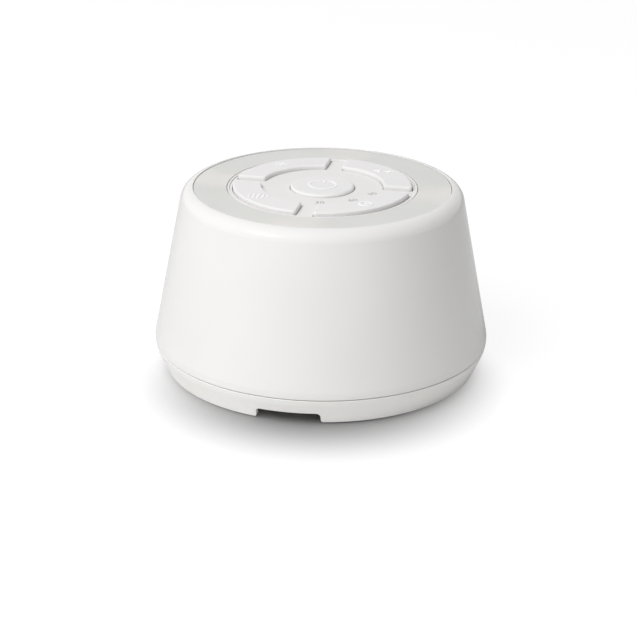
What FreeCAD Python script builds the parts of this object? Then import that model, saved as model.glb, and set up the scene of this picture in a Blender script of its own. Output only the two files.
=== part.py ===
import FreeCAD, Part
import math
import os
from types import SimpleNamespace

import Sketcher

# A free-standing white noise sound machine. Millimetres, +Z up, front towards -Y,
# origin on the standing plane under the middle of the base.

SIZES = {
    # Outer form
    "foot_height": 0.6,
    "skirt_slant": 3.98,
    "knee_radius": 55.48,
    "knee_height": 9.3,
    "knee_round": 8.0,
    "drum_taper": 10.08,
    "rim_height": 61.2,
    "shoulder_round": 4.8,
    "rim_edge_round": 0.12,
    "shell_wall": 2.4,
    "seam_height": 9.2,
    "seam_gap": 0.25,
    "seam_edge_round": 0.2,
    "running_gap": 0.2,
    "seat_gap": 0.05,
    # Light ring
    "rim_width": 3.55,
    "diffuser_width": 10.8,
    "diffuser_setback": 0.35,
    "diffuser_gap": 0.12,
    "diffuser_thickness": 2.25,
    "diffuser_edge_round": 0.1,
    "shelf_width": 2.25,
    "shelf_thickness": 1.6,
    # Key panel
    "panel_setback": 0.45,
    "panel_thickness": 1.8,
    "panel_lip_height": 0.4,
    "panel_lip_width": 0.7,
    "panel_lip_round": 0.15,
    "panel_skirt_depth": 2.4,
    "panel_skirt_wall": 0.8,
    "key_gap": 0.25,
    "key_rise": 1.4,
    "panel_rim_width": 1.75,
    "key_width": 9.3,
    "key_channel_width": 5.5,
    "key_wall": 1.2,
    "key_roof": 1.5,
    "key_edge_round": 0.6,
    "key_corner_round": 0.9,
    "key_flange_width": 0.5,
    "key_flange_thickness": 1.1,
    "key_flange_gap": 0.1,
    "power_key_radius": 10.4,
    "power_key_rise": 1.0,
    "power_key_edge_round": 0.9,
    "stem_radius": 2.0,
    "key_travel": 0.5,
    # Raised signs on the keys
    "sign_height": 0.15,
    "sign_stroke": 0.6,
    "sign_reach": 2.2,
    "sign_bar_step": 1.5,
    "sign_spacing": 2.3,
    "sign_lamp_radius": 0.9,
    "sign_ray_start": 1.4,
    "power_sign_radius": 4.4,
    "power_sign_gap": 1.2,
    # Key board and switches
    "board_thickness": 1.6,
    "key_board_depth": 7.0,
    "key_board_overhang": 0.1,
    "switch_width": 6.0,
    "switch_height": 3.5,
    "plunger_radius": 1.7,
    "plunger_head_height": 0.9,
    "plunger_gap": 0.08,
    "driver_length": 5.0,
    "driver_width": 6.0,
    "driver_height": 1.5,
    "driver_x": -12.0,
    "driver_inset": 4.45,
    # Light tray
    "tray_board_gap": 0.4,
    "tray_floor_thickness": 1.2,
    "tray_bore_gap": 0.75,
    "tray_shelf_gap": 1.7,
    "tray_lean": 0.5,
    "tray_wall": 1.1,
    "tray_window": 4.5,
    "led_count": 12,
    "led_width": 3.5,
    "led_height": 1.5,
    "led_lens_radius": 1.3,
    "led_lens_depth": 0.6,
    "tray_boss_inset": 1.7,
    "tray_boss_radius": 2.5,
    "tray_boss_length": 4.0,
    "tray_post_radius": 1.7,
    "tray_post_height": 2.6,
    "tray_post_cap": 0.8,
    # Base cover
    "floor_bottom": 4.8,
    "floor_thickness": 2.0,
    "tongue_height": 2.0,
    "tongue_wall": 1.6,
    "notch_width": 20.6,
    "notch_height": 3.6,
    "notch_top_round": 1.3,
    "notch_foot_round": 0.9,
    "foot_inset": 7.3,
    "foot_radius": 4.2,
    "foot_depth": 1.4,
    "foot_wall": 1.05,
    "foot_edge_round": 0.4,
    "base_boss_radius": 3.6,
    "shell_boss_radius": 3.4,
    "shell_boss_top": 24.0,
    "shell_rib_width": 2.0,
    "grille_hole_radius": 1.1,
    "grille_margin": 2.5,
    "grille_ring_count": 5,
    # Speaker
    "gasket_thickness": 0.8,
    "speaker_seat_height": 1.2,
    "speaker_room": 28.48,
    "speaker_flange_width": 4.5,
    "speaker_flange_thickness": 1.2,
    "speaker_lip_recess": 0.4,
    "speaker_lip_width": 2.0,
    "speaker_lug_reach": 2.2,
    "speaker_lug_radius": 2.6,
    "speaker_lug_margin": 0.4,
    "gasket_width": 1.6,
    "basket_wall": 1.2,
    "basket_step_height": 11.2,
    "basket_taper": 3.9,
    "spider_seat_width": 2.0,
    "basket_top_height": 15.4,
    "basket_shoulder": 0.6,
    "basket_bore_radius": 9.5,
    "basket_window_width": 15.0,
    "basket_window_height": 6.0,
    "pole_radius": 7.4,
    "gap_bore_radius": 8.75,
    "top_plate_radius": 17.0,
    "top_plate_thickness": 3.0,
    "magnet_radius": 17.6,
    "magnet_bore_radius": 11.0,
    "magnet_thickness": 6.0,
    "magnet_edge_round": 0.4,
    "yoke_radius": 16.5,
    "yoke_thickness": 3.0,
    "yoke_edge_round": 0.5,
    "former_radius": 7.75,
    "former_wall": 0.2,
    "coil_wall": 0.35,
    "coil_length": 4.0,
    "surround_span": 4.2,
    "cone_rim_width": 1.2,
    "cone_thickness": 0.6,
    "cone_depth": 7.6,
    "surround_roll_radius": 1.9,
    "surround_roll_offset": 2.0,
    "surround_thickness": 0.4,
    "surround_overlap": 1.3,
    "surround_inset": 0.4,
    "spider_thickness": 0.4,
    "spider_wave": 0.5,
    "spider_wave_count": 4,
    "spider_land": 1.0,
    "dust_cap_radius": 8.4,
    "dust_cap_bulge": 2.4,
    "dust_cap_wall": 0.35,
    "dust_cap_gap": 0.3,
    "terminal_width": 12.0,
    "terminal_height": 8.0,
    "terminal_thickness": 1.2,
    "terminal_setback": 2.1,
    "acoustic_mesh_thickness": 0.3,
    # Main board
    "main_board_bottom": 12.0,
    "board_wall_gap": 2.55,
    "board_speaker_gap": 0.5,
    "board_boss_gap": 1.85,
    "board_screw_inset": 3.5,
    "rear_screw_x": 17.0,
    "rear_screw_depth": 16.0,
    "main_boss_radius": 2.6,
    "controller_side": 8.0,
    "controller_height": 1.4,
    "controller_x": -9.0,
    "controller_depth": 12.0,
    "memory_length": 6.0,
    "memory_width": 5.0,
    "memory_height": 1.6,
    "memory_x": 6.5,
    "memory_depth": 11.0,
    "amplifier_side": 5.0,
    "amplifier_height": 1.2,
    "amplifier_x": 17.0,
    "amplifier_depth": 10.0,
    "inductor_side": 5.0,
    "inductor_height": 3.0,
    "inductor_x": -17.0,
    "inductor_depth": 10.5,
    "chip_edge": 0.2,
    "capacitor_radius": 3.15,
    "capacitor_length": 7.0,
    "capacitor_x": 8.2,
    "capacitor_inset": 4.3,
    "capacitor_edge_round": 0.5,
    "passive_length": 1.6,
    "passive_width": 0.8,
    "passive_gap": 1.6,
    "passive_step": 2.0,
    "plug_width": 6.0,
    "plug_depth": 4.5,
    "plug_height": 6.0,
    "plug_row_depth": 4.0,
    "battery_plug_inset": 9.5,
    "speaker_plug_inset": 13.0,
    "latch_width": 2.0,
    "latch_depth": 0.6,
    "latch_height": 3.0,
    "latch_foot": 2.0,
    "socket_width": 8.94,
    "socket_height": 3.26,
    "socket_depth": 7.35,
    "socket_wall": 0.3,
    "socket_setback": 0.5,
    "socket_tongue_width": 6.7,
    "socket_tongue_thickness": 0.7,
    "socket_tongue_setback": 1.5,
    "port_gap": 0.25,
    "port_recess_width": 12.8,
    "port_recess_height": 6.8,
    "port_recess_depth": 1.43,
    # Battery
    "battery_thickness": 8.0,
    "battery_wall_gap": 0.97,
    "battery_height": 34.0,
    "battery_edge_round": 3.0,
    "battery_room": 3.6,
    "battery_pad_thickness": 1.0,
    "battery_pad_length": 25.0,
    "battery_pad_height": 12.0,
    "battery_rib_thickness": 1.6,
    "battery_rib_length": 28.0,
    "battery_rib_height": 15.0,
    "battery_stop_height": 5.0,
    "cell_board_width": 3.6,
    "cell_board_margin": 14.0,
    "cell_board_thickness": 1.0,
    # Screws and wires
    "small_screw_radius": 0.8,
    "small_screw_head_radius": 1.6,
    "small_screw_head_height": 1.2,
    "large_screw_radius": 1.3,
    "large_screw_head_radius": 2.3,
    "large_screw_head_height": 2.0,
    "large_screw_length": 11.5,
    "board_screw_length": 5.0,
    "panel_screw_length": 6.0,
    "speaker_screw_length": 4.0,
    "pilot_depth": 6.0,
    "screw_slack": 0.4,
    "thread_gap": 0.02,
    "wire_radius": 0.6,
    "wire_spacing": 2.0,
    "ribbon_width": 8.0,
    "ribbon_thickness": 0.4,
    "ribbon_plug_margin": 1.5,
    "ribbon_plug_depth": 3.0,
    "ribbon_plug_height": 3.0,
    "ribbon_plug_row_depth": 5.5,
    "ribbon_head_height": 2.6,
    "ribbon_head_inset": 5.35,
}

# How far a cut runs past the surface that it opens, and a raised form into the wall it grows from
BEYOND = 1.0
ROOT = 0.5

# A screw's crossed recess, as shares of its head's radius
RECESS_WIDTH = 0.25
RECESS_SPAN = 1.2

doc = FreeCAD.newDocument("sound_machine")
sheet = doc.addObject("Spreadsheet::Sheet", "Sizes")
for row, (alias, number) in enumerate(SIZES.items(), start=1):
    sheet.set("A%d" % row, alias)
    sheet.set("B%d" % row, str(number))
    sheet.setAlias("B%d" % row, alias)
doc.recompute()


class Size:
    """A length of the sheet, or one worked out from such lengths, as text and as a number."""

    def __init__(self, text, number):
        self.text = text
        self.number = number

    def joined(self, sign, other, number):
        return Size("(%s %s %s)" % (self.text, sign, other.text), number)

    def __add__(self, other):
        other = as_size(other)
        return self.joined("+", other, self.number + other.number)

    def __sub__(self, other):
        other = as_size(other)
        return self.joined("-", other, self.number - other.number)

    def __mul__(self, other):
        other = as_size(other)
        return self.joined("*", other, self.number * other.number)

    def __truediv__(self, other):
        other = as_size(other)
        return self.joined("/", other, self.number / other.number)

    def __radd__(self, other):
        return as_size(other) + self

    def __rsub__(self, other):
        return as_size(other) - self

    def __rmul__(self, other):
        return as_size(other) * self

    def __neg__(self):
        return as_size(0) - self


def as_size(value):
    return value if isinstance(value, Size) else Size(repr(float(value)), float(value))


def root_of(value):
    return Size("sqrt(%s)" % value.text, math.sqrt(value.number))


def turned_to(radius, degrees):
    """The point at a radius and an angle, as two sizes."""
    angle = math.radians(degrees)
    return radius * math.cos(angle), radius * math.sin(angle)


size = SimpleNamespace(**{alias: Size("Sizes." + alias, number) for alias, number in SIZES.items()})
QUARTERS = (45, 135, 225, 315)
CROSS = (0, 90, 180, 270)


def bind(thing, name, value):
    thing.setExpression(name, as_size(value).text)


def place(thing, x=0, y=0, z=0):
    bind(thing, ".Placement.Base.x", x)
    bind(thing, ".Placement.Base.y", y)
    bind(thing, ".Placement.Base.z", z)
    return thing


# Sketches

START, END, CENTRE = range(1, 4)


def hold(sketch, kind, value, *where):
    """Adds one constraint whose value follows the sheet."""
    value = as_size(value)
    index = sketch.addConstraint(Sketcher.Constraint(kind, *where, value.number))
    sketch.setExpression("Constraints[%d]" % index, value.text)


def hold_point(sketch, item, point, x, y):
    """Holds a start, end or centre point at x, y from the origin."""
    for axis, kind, value in ((-2, "DistanceX", x), (-1, "DistanceY", y)):
        if abs(as_size(value).number) < 1e-9:
            sketch.addConstraint(Sketcher.Constraint("PointOnObject", item, point, axis))
        else:
            hold(sketch, kind, value, -1, 1, item, point)


def add_loop(sketch, points):
    numbers = [FreeCAD.Vector(as_size(x).number, as_size(y).number, 0) for x, y in points]
    first = sketch.GeometryCount
    count = len(points)
    for k in range(count):
        sketch.addGeometry(Part.LineSegment(numbers[k], numbers[(k + 1) % count]))
    for k in range(count):
        following = first + (k + 1) % count
        sketch.addConstraint(Sketcher.Constraint("Coincident", first + k, END, following, START))
    for k, (x, y) in enumerate(points):
        hold_point(sketch, first + k, START, x, y)


UPRIGHT = FreeCAD.Vector(0, 0, 1)
BACKWARDS = FreeCAD.Vector(0, 1, 0)


def add_circle(sketch, x, y, radius):
    x, y, radius = as_size(x), as_size(y), as_size(radius)
    centre = FreeCAD.Vector(x.number, y.number, 0)
    circle = sketch.addGeometry(Part.Circle(centre, UPRIGHT, radius.number))
    hold(sketch, "Radius", radius, circle)
    hold_point(sketch, circle, CENTRE, x, y)


def add_long_hole(sketch, half_width, half_height, middle):
    """Closed loop with straight top and bottom and half-round ends, centred on the second axis."""
    reach = half_width - half_height
    low, high = middle - half_height, middle + half_height
    corners = [FreeCAD.Vector(x.number, y.number, 0)
               for x, y in ((-reach, low), (reach, low), (reach, high), (-reach, high))]
    bottom = sketch.addGeometry(Part.LineSegment(corners[0], corners[1]))
    top = sketch.addGeometry(Part.LineSegment(corners[2], corners[3]))
    for line, x, y in ((bottom, reach, low), (top, -reach, high)):
        hold_point(sketch, line, START, -x, y)
        hold_point(sketch, line, END, x, y)
    for side, first, last in ((reach, (bottom, END), (top, START)), (-reach, (top, END), (bottom, START))):
        circle = Part.Circle(FreeCAD.Vector(side.number, middle.number, 0), UPRIGHT, half_height.number)
        turn = -math.pi / 2 if side is reach else math.pi / 2
        arc = sketch.addGeometry(Part.ArcOfCircle(circle, turn, turn + math.pi))
        sketch.addConstraint(Sketcher.Constraint("Coincident", arc, START, *first))
        sketch.addConstraint(Sketcher.Constraint("Coincident", arc, END, *last))
        hold(sketch, "DistanceX", side, -1, 1, arc, CENTRE)


def new_body(name):
    return doc.addObject("PartDesign::Body", name)


def new_sketch(body, plane, offset=0, points=None, circles=(), loops=()):
    """A sketch on one of the body's own planes, offset along that plane's normal."""
    sketch = body.newObject("Sketcher::SketchObject", body.Name + "_sketch")
    support = next(item for item in body.Origin.OriginFeatures if item.Role == plane)
    sketch.AttachmentSupport = [(support, "")]
    sketch.MapMode = "FlatFace"
    bind(sketch, "AttachmentOffset.Base.z", offset)
    for loop in ([points] if points else []) + list(loops):
        add_loop(sketch, loop)
    for x, y, radius in circles:
        add_circle(sketch, x, y, radius)
    return sketch


def checked(body, feature, before, grows):
    """Stops where a feature added or removed nothing."""
    doc.recompute()
    change = feature.Shape.Volume - before
    if (change > 0) != grows or abs(change) < 1e-6:
        raise RuntimeError("%s changed %s by %.4f" % (feature.Name, body.Name, change))
    return feature


def volume_of(body):
    return body.Tip.Shape.Volume if body.Tip and body.Tip.isDerivedFrom("PartDesign::Feature") else 0.0


def revolve(body, points):
    """Turns a closed outline of radius and height pairs about the upright axis."""
    sketch = new_sketch(body, "XZ_Plane", points=points)
    feature = body.newObject("PartDesign::Revolution", body.Name + "_turned")
    feature.Profile = sketch
    feature.ReferenceAxis = (sketch, ["V_Axis"])
    feature.Angle = 360
    return checked(body, feature, 0.0, True)


def groove(body, points):
    before = volume_of(body)
    sketch = new_sketch(body, "XZ_Plane", points=points)
    feature = body.newObject("PartDesign::Groove", body.Name + "_groove")
    feature.Profile = sketch
    feature.ReferenceAxis = (sketch, ["V_Axis"])
    feature.Angle = 360
    return checked(body, feature, before, False)


def pad(body, sketch, length):
    before = volume_of(body)
    feature = body.newObject("PartDesign::Pad", body.Name + "_pad")
    feature.Profile = sketch
    bind(feature, "Length", length)
    return checked(body, feature, before, True)


def pocket(body, sketch, length, along_normal=False):
    before = volume_of(body)
    feature = body.newObject("PartDesign::Pocket", body.Name + "_pocket")
    feature.Profile = sketch
    feature.Reversed = along_normal
    bind(feature, "Length", length)
    return checked(body, feature, before, False)


def around(body, features, count, angle=360):
    """Repeats features round the upright axis."""
    feature = body.newObject("PartDesign::PolarPattern", body.Name + "_pattern")
    feature.Originals = features
    feature.Axis = (features[0].Profile[0], ["N_Axis"])
    feature.Angle = angle
    feature.Occurrences = count
    body.Tip = feature
    doc.recompute()
    return feature


def edges_where(shape, test, along=None):
    """Names of the edges whose end points all pass a test on radius, height and point.

    With along, only straight edges that run in that direction count.
    """
    names = []
    for index, edge in enumerate(shape.Edges, start=1):
        ends = [vertex.Point for vertex in edge.Vertexes]
        if along and (edge.Curve.TypeId != "Part::GeomLine" or edge.tangentAt(0).cross(along).Length > 0.01):
            continue
        if ends and all(test(math.hypot(p.x, p.y), p.z, p) for p in ends):
            names.append("Edge%d" % index)
    return names


def near(value, target, slack=0.02):
    return abs(value - as_size(target).number) < slack


def fillet(body, radius, test, along=None):
    base = body.Tip
    names = edges_where(base.Shape, test, along)
    if not names:
        raise RuntimeError("no edge to round on " + body.Name)
    feature = body.newObject("PartDesign::Fillet", body.Name + "_round")
    feature.Base = (base, names)
    bind(feature, "Radius", radius)
    doc.recompute()
    return feature


# Primitives and booleans

def cylinder(name, radius, height, x=0, y=0, z=0):
    thing = doc.addObject("Part::Cylinder", name)
    bind(thing, "Radius", radius)
    bind(thing, "Height", height)
    return place(thing, x, y, z)


def box(name, length, width, height, x, y, z):
    """A box centred on x and y, standing on z."""
    thing = doc.addObject("Part::Box", name)
    bind(thing, "Length", length)
    bind(thing, "Width", width)
    bind(thing, "Height", height)
    return place(thing, x - as_size(length) / 2, y - as_size(width) / 2, z)


def corner_box(name, length, width, height, x, y, z):
    """A box whose lowest corner is at x, y, z."""
    thing = doc.addObject("Part::Box", name)
    bind(thing, "Length", length)
    bind(thing, "Width", width)
    bind(thing, "Height", height)
    return place(thing, x, y, z)


def cut(name, base, tool):
    thing = doc.addObject("Part::Cut", name)
    thing.Base, thing.Tool = base, tool
    return thing


def fuse(name, *things):
    thing = doc.addObject("Part::MultiFuse", name)
    thing.Shapes = list(things)
    return thing


def common(name, *things):
    thing = doc.addObject("Part::MultiCommon", name)
    thing.Shapes = list(things)
    return thing


def group(name, things):
    thing = doc.addObject("Part::Compound", name)
    thing.Links = list(things)
    return thing


def rounded(name, base, radius, test, along=None):
    doc.recompute()
    radius = as_size(radius).number
    names = edges_where(base.Shape, test, along)
    if not names:
        raise RuntimeError("no edge to round for " + name)
    thing = doc.addObject("Part::Fillet", name)
    thing.Base = base
    thing.Edges = [(int(edge[4:]), radius, radius) for edge in names]
    return thing


def screw(name, x, y, z, radius, length, head_radius, head_height, points_up=True):
    """A pan-head screw with a crossed recess; z is where its head seats."""
    if points_up:
        head = cylinder(name + "_head", head_radius, head_height, x, y, z - head_height)
        shank = cylinder(name + "_shank", radius, length, x, y, z)
        recess_floor = z - head_height
    else:
        head = cylinder(name + "_head", head_radius, head_height, x, y, z)
        shank = cylinder(name + "_shank", radius, length, x, y, z - length)
        recess_floor = z + head_height / 2
    slot = head_radius * RECESS_WIDTH
    span = head_radius * RECESS_SPAN
    cross = fuse(name + "_cross",
                 box(name + "_slot_a", span, slot, head_height / 2, x, y, recess_floor),
                 box(name + "_slot_b", slot, span, head_height / 2, x, y, recess_floor))
    return cut(name, fuse(name + "_blank", head, shank), cross)


def small_screw(name, x, y, z, length, points_up=True):
    return screw(name, x, y, z, size.small_screw_radius, length,
                 size.small_screw_head_radius, size.small_screw_head_height, points_up)


# Outline of the drum, from its widest ring and its rim

skirt_bottom_radius = size.knee_radius - size.skirt_slant
top_corner_radius = size.knee_radius - size.drum_taper
wall_slope = size.drum_taper / (size.rim_height - size.knee_height)
skirt_slope = size.skirt_slant / (size.knee_height - size.foot_height)
shell_foot = size.seam_height + size.seam_gap
floor_top = size.floor_bottom + size.floor_thickness
tongue_top = size.seam_height + size.tongue_height
foot_circle_radius = skirt_bottom_radius - size.foot_inset
small_bore_radius = size.small_screw_radius + size.thread_gap
small_slack_radius = size.small_screw_radius + size.screw_slack / 2


def wall_outside(z):
    return top_corner_radius + (size.rim_height - z) * wall_slope


def wall_inside(z):
    return wall_outside(z) - size.shell_wall


def skirt_inside(z):
    return skirt_bottom_radius - size.shell_wall + (z - size.foot_height) * skirt_slope


# The top, hung from the rim: light ring, key panel, keys, tray and key board

diffuser_radius = top_corner_radius - size.rim_width
diffuser_bore_radius = diffuser_radius - size.diffuser_width
diffuser_top = size.rim_height - size.diffuser_setback
opening_radius = diffuser_radius + size.diffuser_gap
shelf_inner_radius = diffuser_radius - size.shelf_width
shelf_top = diffuser_top - size.diffuser_thickness
shelf_bottom = shelf_top - size.shelf_thickness
panel_radius = diffuser_bore_radius - size.running_gap
panel_top = diffuser_top - size.panel_setback
panel_underside = panel_top - size.panel_thickness
key_outer_radius = panel_radius - size.panel_rim_width
key_inner_radius = key_outer_radius - size.key_width
key_top = panel_top + size.key_rise
key_foot = panel_underside - size.key_flange_gap - size.key_flange_thickness
power_key_top = panel_top + size.power_key_rise
switch_circle_radius = (key_outer_radius + key_inner_radius) / 2
key_board_top = panel_underside - size.key_board_depth
plunger_top = key_board_top + size.switch_height + size.plunger_head_height
tray_floor_bottom = key_board_top + size.tray_board_gap
tray_inner_radius = diffuser_bore_radius + size.tray_bore_gap
tray_outer_radius = shelf_inner_radius - size.tray_shelf_gap
tray_screw_circle_radius = shelf_inner_radius + size.tray_boss_inset
tray_boss_bottom = shelf_bottom - size.tray_boss_length
led_circle_radius = (tray_inner_radius + tray_outer_radius) / 2
key_board_radius = tray_outer_radius + size.key_board_overhang
driver_y = switch_circle_radius - size.driver_inset
ribbon_head_y = led_circle_radius - size.ribbon_head_inset

# The speaker, which fires down through the grille

speaker_flange_radius = size.knee_radius - size.speaker_room
speaker_opening_radius = speaker_flange_radius - size.speaker_flange_width
speaker_lip_radius = speaker_flange_radius - size.speaker_lip_width
speaker_lug_circle_radius = speaker_flange_radius + size.speaker_lug_reach
basket_step_radius = speaker_opening_radius - size.basket_taper
basket_ledge_radius = basket_step_radius - size.spider_seat_width
basket_top_radius = basket_step_radius - size.basket_shoulder
cone_edge_radius = speaker_opening_radius - size.surround_span
surround_middle_radius = cone_edge_radius + size.surround_roll_offset
surround_inner_radius = cone_edge_radius - size.surround_overlap
surround_outer_radius = speaker_lip_radius - size.surround_inset
terminal_offset = speaker_opening_radius + size.terminal_setback
grille_ring_step = (speaker_opening_radius - size.grille_margin) / size.grille_ring_count
speaker_face = floor_top + size.speaker_seat_height + size.gasket_thickness
basket_top = speaker_face + size.basket_top_height
ledge_z = speaker_face + size.basket_step_height
plate_top = basket_top + size.top_plate_thickness
magnet_top = plate_top + size.magnet_thickness
cone_front = speaker_face + size.speaker_lip_recess

# The main board, between the speaker and the back of the drum

board_face = size.main_board_bottom + size.board_thickness
main_board_radius = wall_inside(size.main_board_bottom) - size.board_wall_gap
main_board_front = speaker_flange_radius + size.board_speaker_gap
main_board_half_width = turned_to(foot_circle_radius, 45)[0] - size.shell_boss_radius - size.board_boss_gap
controller_y = main_board_front + size.controller_depth
memory_y = main_board_front + size.memory_depth
amplifier_y = main_board_front + size.amplifier_depth
inductor_y = main_board_front + size.inductor_depth
capacitor_y = (root_of(main_board_radius * main_board_radius - size.capacitor_x * size.capacitor_x)
               - size.capacitor_inset)
plug_row_y = main_board_front + size.plug_row_depth
ribbon_plug_y = main_board_front + size.ribbon_plug_row_depth
battery_plug_x = size.battery_plug_inset - main_board_half_width
speaker_plug_x = main_board_half_width - size.speaker_plug_inset
socket_middle = board_face + size.socket_height / 2
port_recess_floor = wall_outside(socket_middle) - size.port_recess_depth

# The battery, on edge between the speaker and the side of the drum

battery_offset = speaker_flange_radius + size.battery_room
battery_reach = wall_inside(floor_top + size.battery_height) - size.battery_wall_gap
battery_outer = battery_offset + size.battery_thickness
battery_width = root_of(battery_reach * battery_reach - battery_outer * battery_outer) * 2
cell_board_length = battery_width - size.cell_board_margin


def add_main_shell():
    """Tapered drum with a rounded shoulder, a shelf for the light ring and four long bosses."""
    body = new_body("main_shell")
    revolve(body, [
        (skirt_bottom_radius, size.foot_height),
        (size.knee_radius, size.knee_height),
        (top_corner_radius, size.rim_height),
        (shelf_inner_radius, size.rim_height),
        (shelf_inner_radius, shelf_bottom),
        (wall_inside(shelf_bottom), shelf_bottom),
        (wall_inside(size.knee_height), size.knee_height),
        (skirt_bottom_radius - size.shell_wall, size.foot_height)])
    fillet(body, size.knee_round, lambda r, z, p: near(r, size.knee_radius) and near(z, size.knee_height))
    fillet(body, size.shoulder_round,
           lambda r, z, p: near(r, top_corner_radius) and near(z, size.rim_height))
    skirt_clear = skirt_bottom_radius - size.shell_wall - BEYOND
    groove(body, [
        (skirt_clear, 0),
        (size.knee_radius + BEYOND, 0),
        (size.knee_radius + BEYOND, shell_foot),
        (skirt_clear, shell_foot)])
    groove(body, [
        (shelf_inner_radius - BEYOND, shelf_top),
        (opening_radius, shelf_top),
        (opening_radius, size.rim_height + BEYOND),
        (shelf_inner_radius - BEYOND, size.rim_height + BEYOND)])
    fillet(body, size.rim_edge_round, lambda r, z, p: near(r, opening_radius) and not near(z, shelf_top))
    outer_foot = max(math.hypot(v.X, v.Y) for v in body.Tip.Shape.Vertexes if near(v.Z, shell_foot))
    fillet(body, size.seam_edge_round, lambda r, z, p: near(r, outer_foot) and near(z, shell_foot))

    x, y = turned_to(foot_circle_radius, 45)
    post_sketch = new_sketch(body, "XY_Plane", size.seam_height, circles=[(x, y, size.shell_boss_radius)])
    post = pad(body, post_sketch, size.shell_boss_top - size.seam_height)
    side = size.shell_rib_width / 2 * math.sqrt(0.5)
    near_x, near_y = turned_to(foot_circle_radius, 45)
    far_x, far_y = turned_to(wall_inside(size.shell_boss_top) + size.shell_wall / 2, 45)
    rib_foot = tongue_top + size.running_gap
    rib = pad(body, new_sketch(body, "XY_Plane", rib_foot, [
        (near_x + side, near_y - side), (far_x + side, far_y - side),
        (far_x - side, far_y + side), (near_x - side, near_y + side)]),
        size.shell_boss_top - rib_foot)
    bore = pocket(body, new_sketch(body, "XY_Plane", size.seam_height,
                                   circles=[(x, y, size.large_screw_radius + size.thread_gap)]),
                  size.large_screw_length + BEYOND, along_normal=True)
    around(body, [post, rib, bore], 4)

    x, y = turned_to(tray_screw_circle_radius, 45)
    hanging_sketch = new_sketch(body, "XY_Plane", tray_boss_bottom, circles=[(x, y, size.tray_boss_radius)])
    hanging = pad(body, hanging_sketch, size.tray_boss_length + size.shelf_thickness / 2)
    pilot_sketch = new_sketch(body, "XY_Plane", tray_boss_bottom, circles=[(x, y, small_bore_radius)])
    pilot = pocket(body, pilot_sketch, size.tray_boss_length + size.shelf_thickness / 4, along_normal=True)
    around(body, [hanging, pilot], 4)

    recess = new_sketch(body, "XZ_Plane", -port_recess_floor)
    add_long_hole(recess, size.port_recess_width / 2, size.port_recess_height / 2, socket_middle)
    pocket(body, recess, size.shell_wall * 2)
    port = new_sketch(body, "XZ_Plane", -port_recess_floor + size.shell_wall)
    add_long_hole(port, size.socket_width / 2 + size.port_gap, size.socket_height / 2 + size.port_gap,
                  socket_middle)
    pocket(body, port, size.shell_wall * 2)


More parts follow.
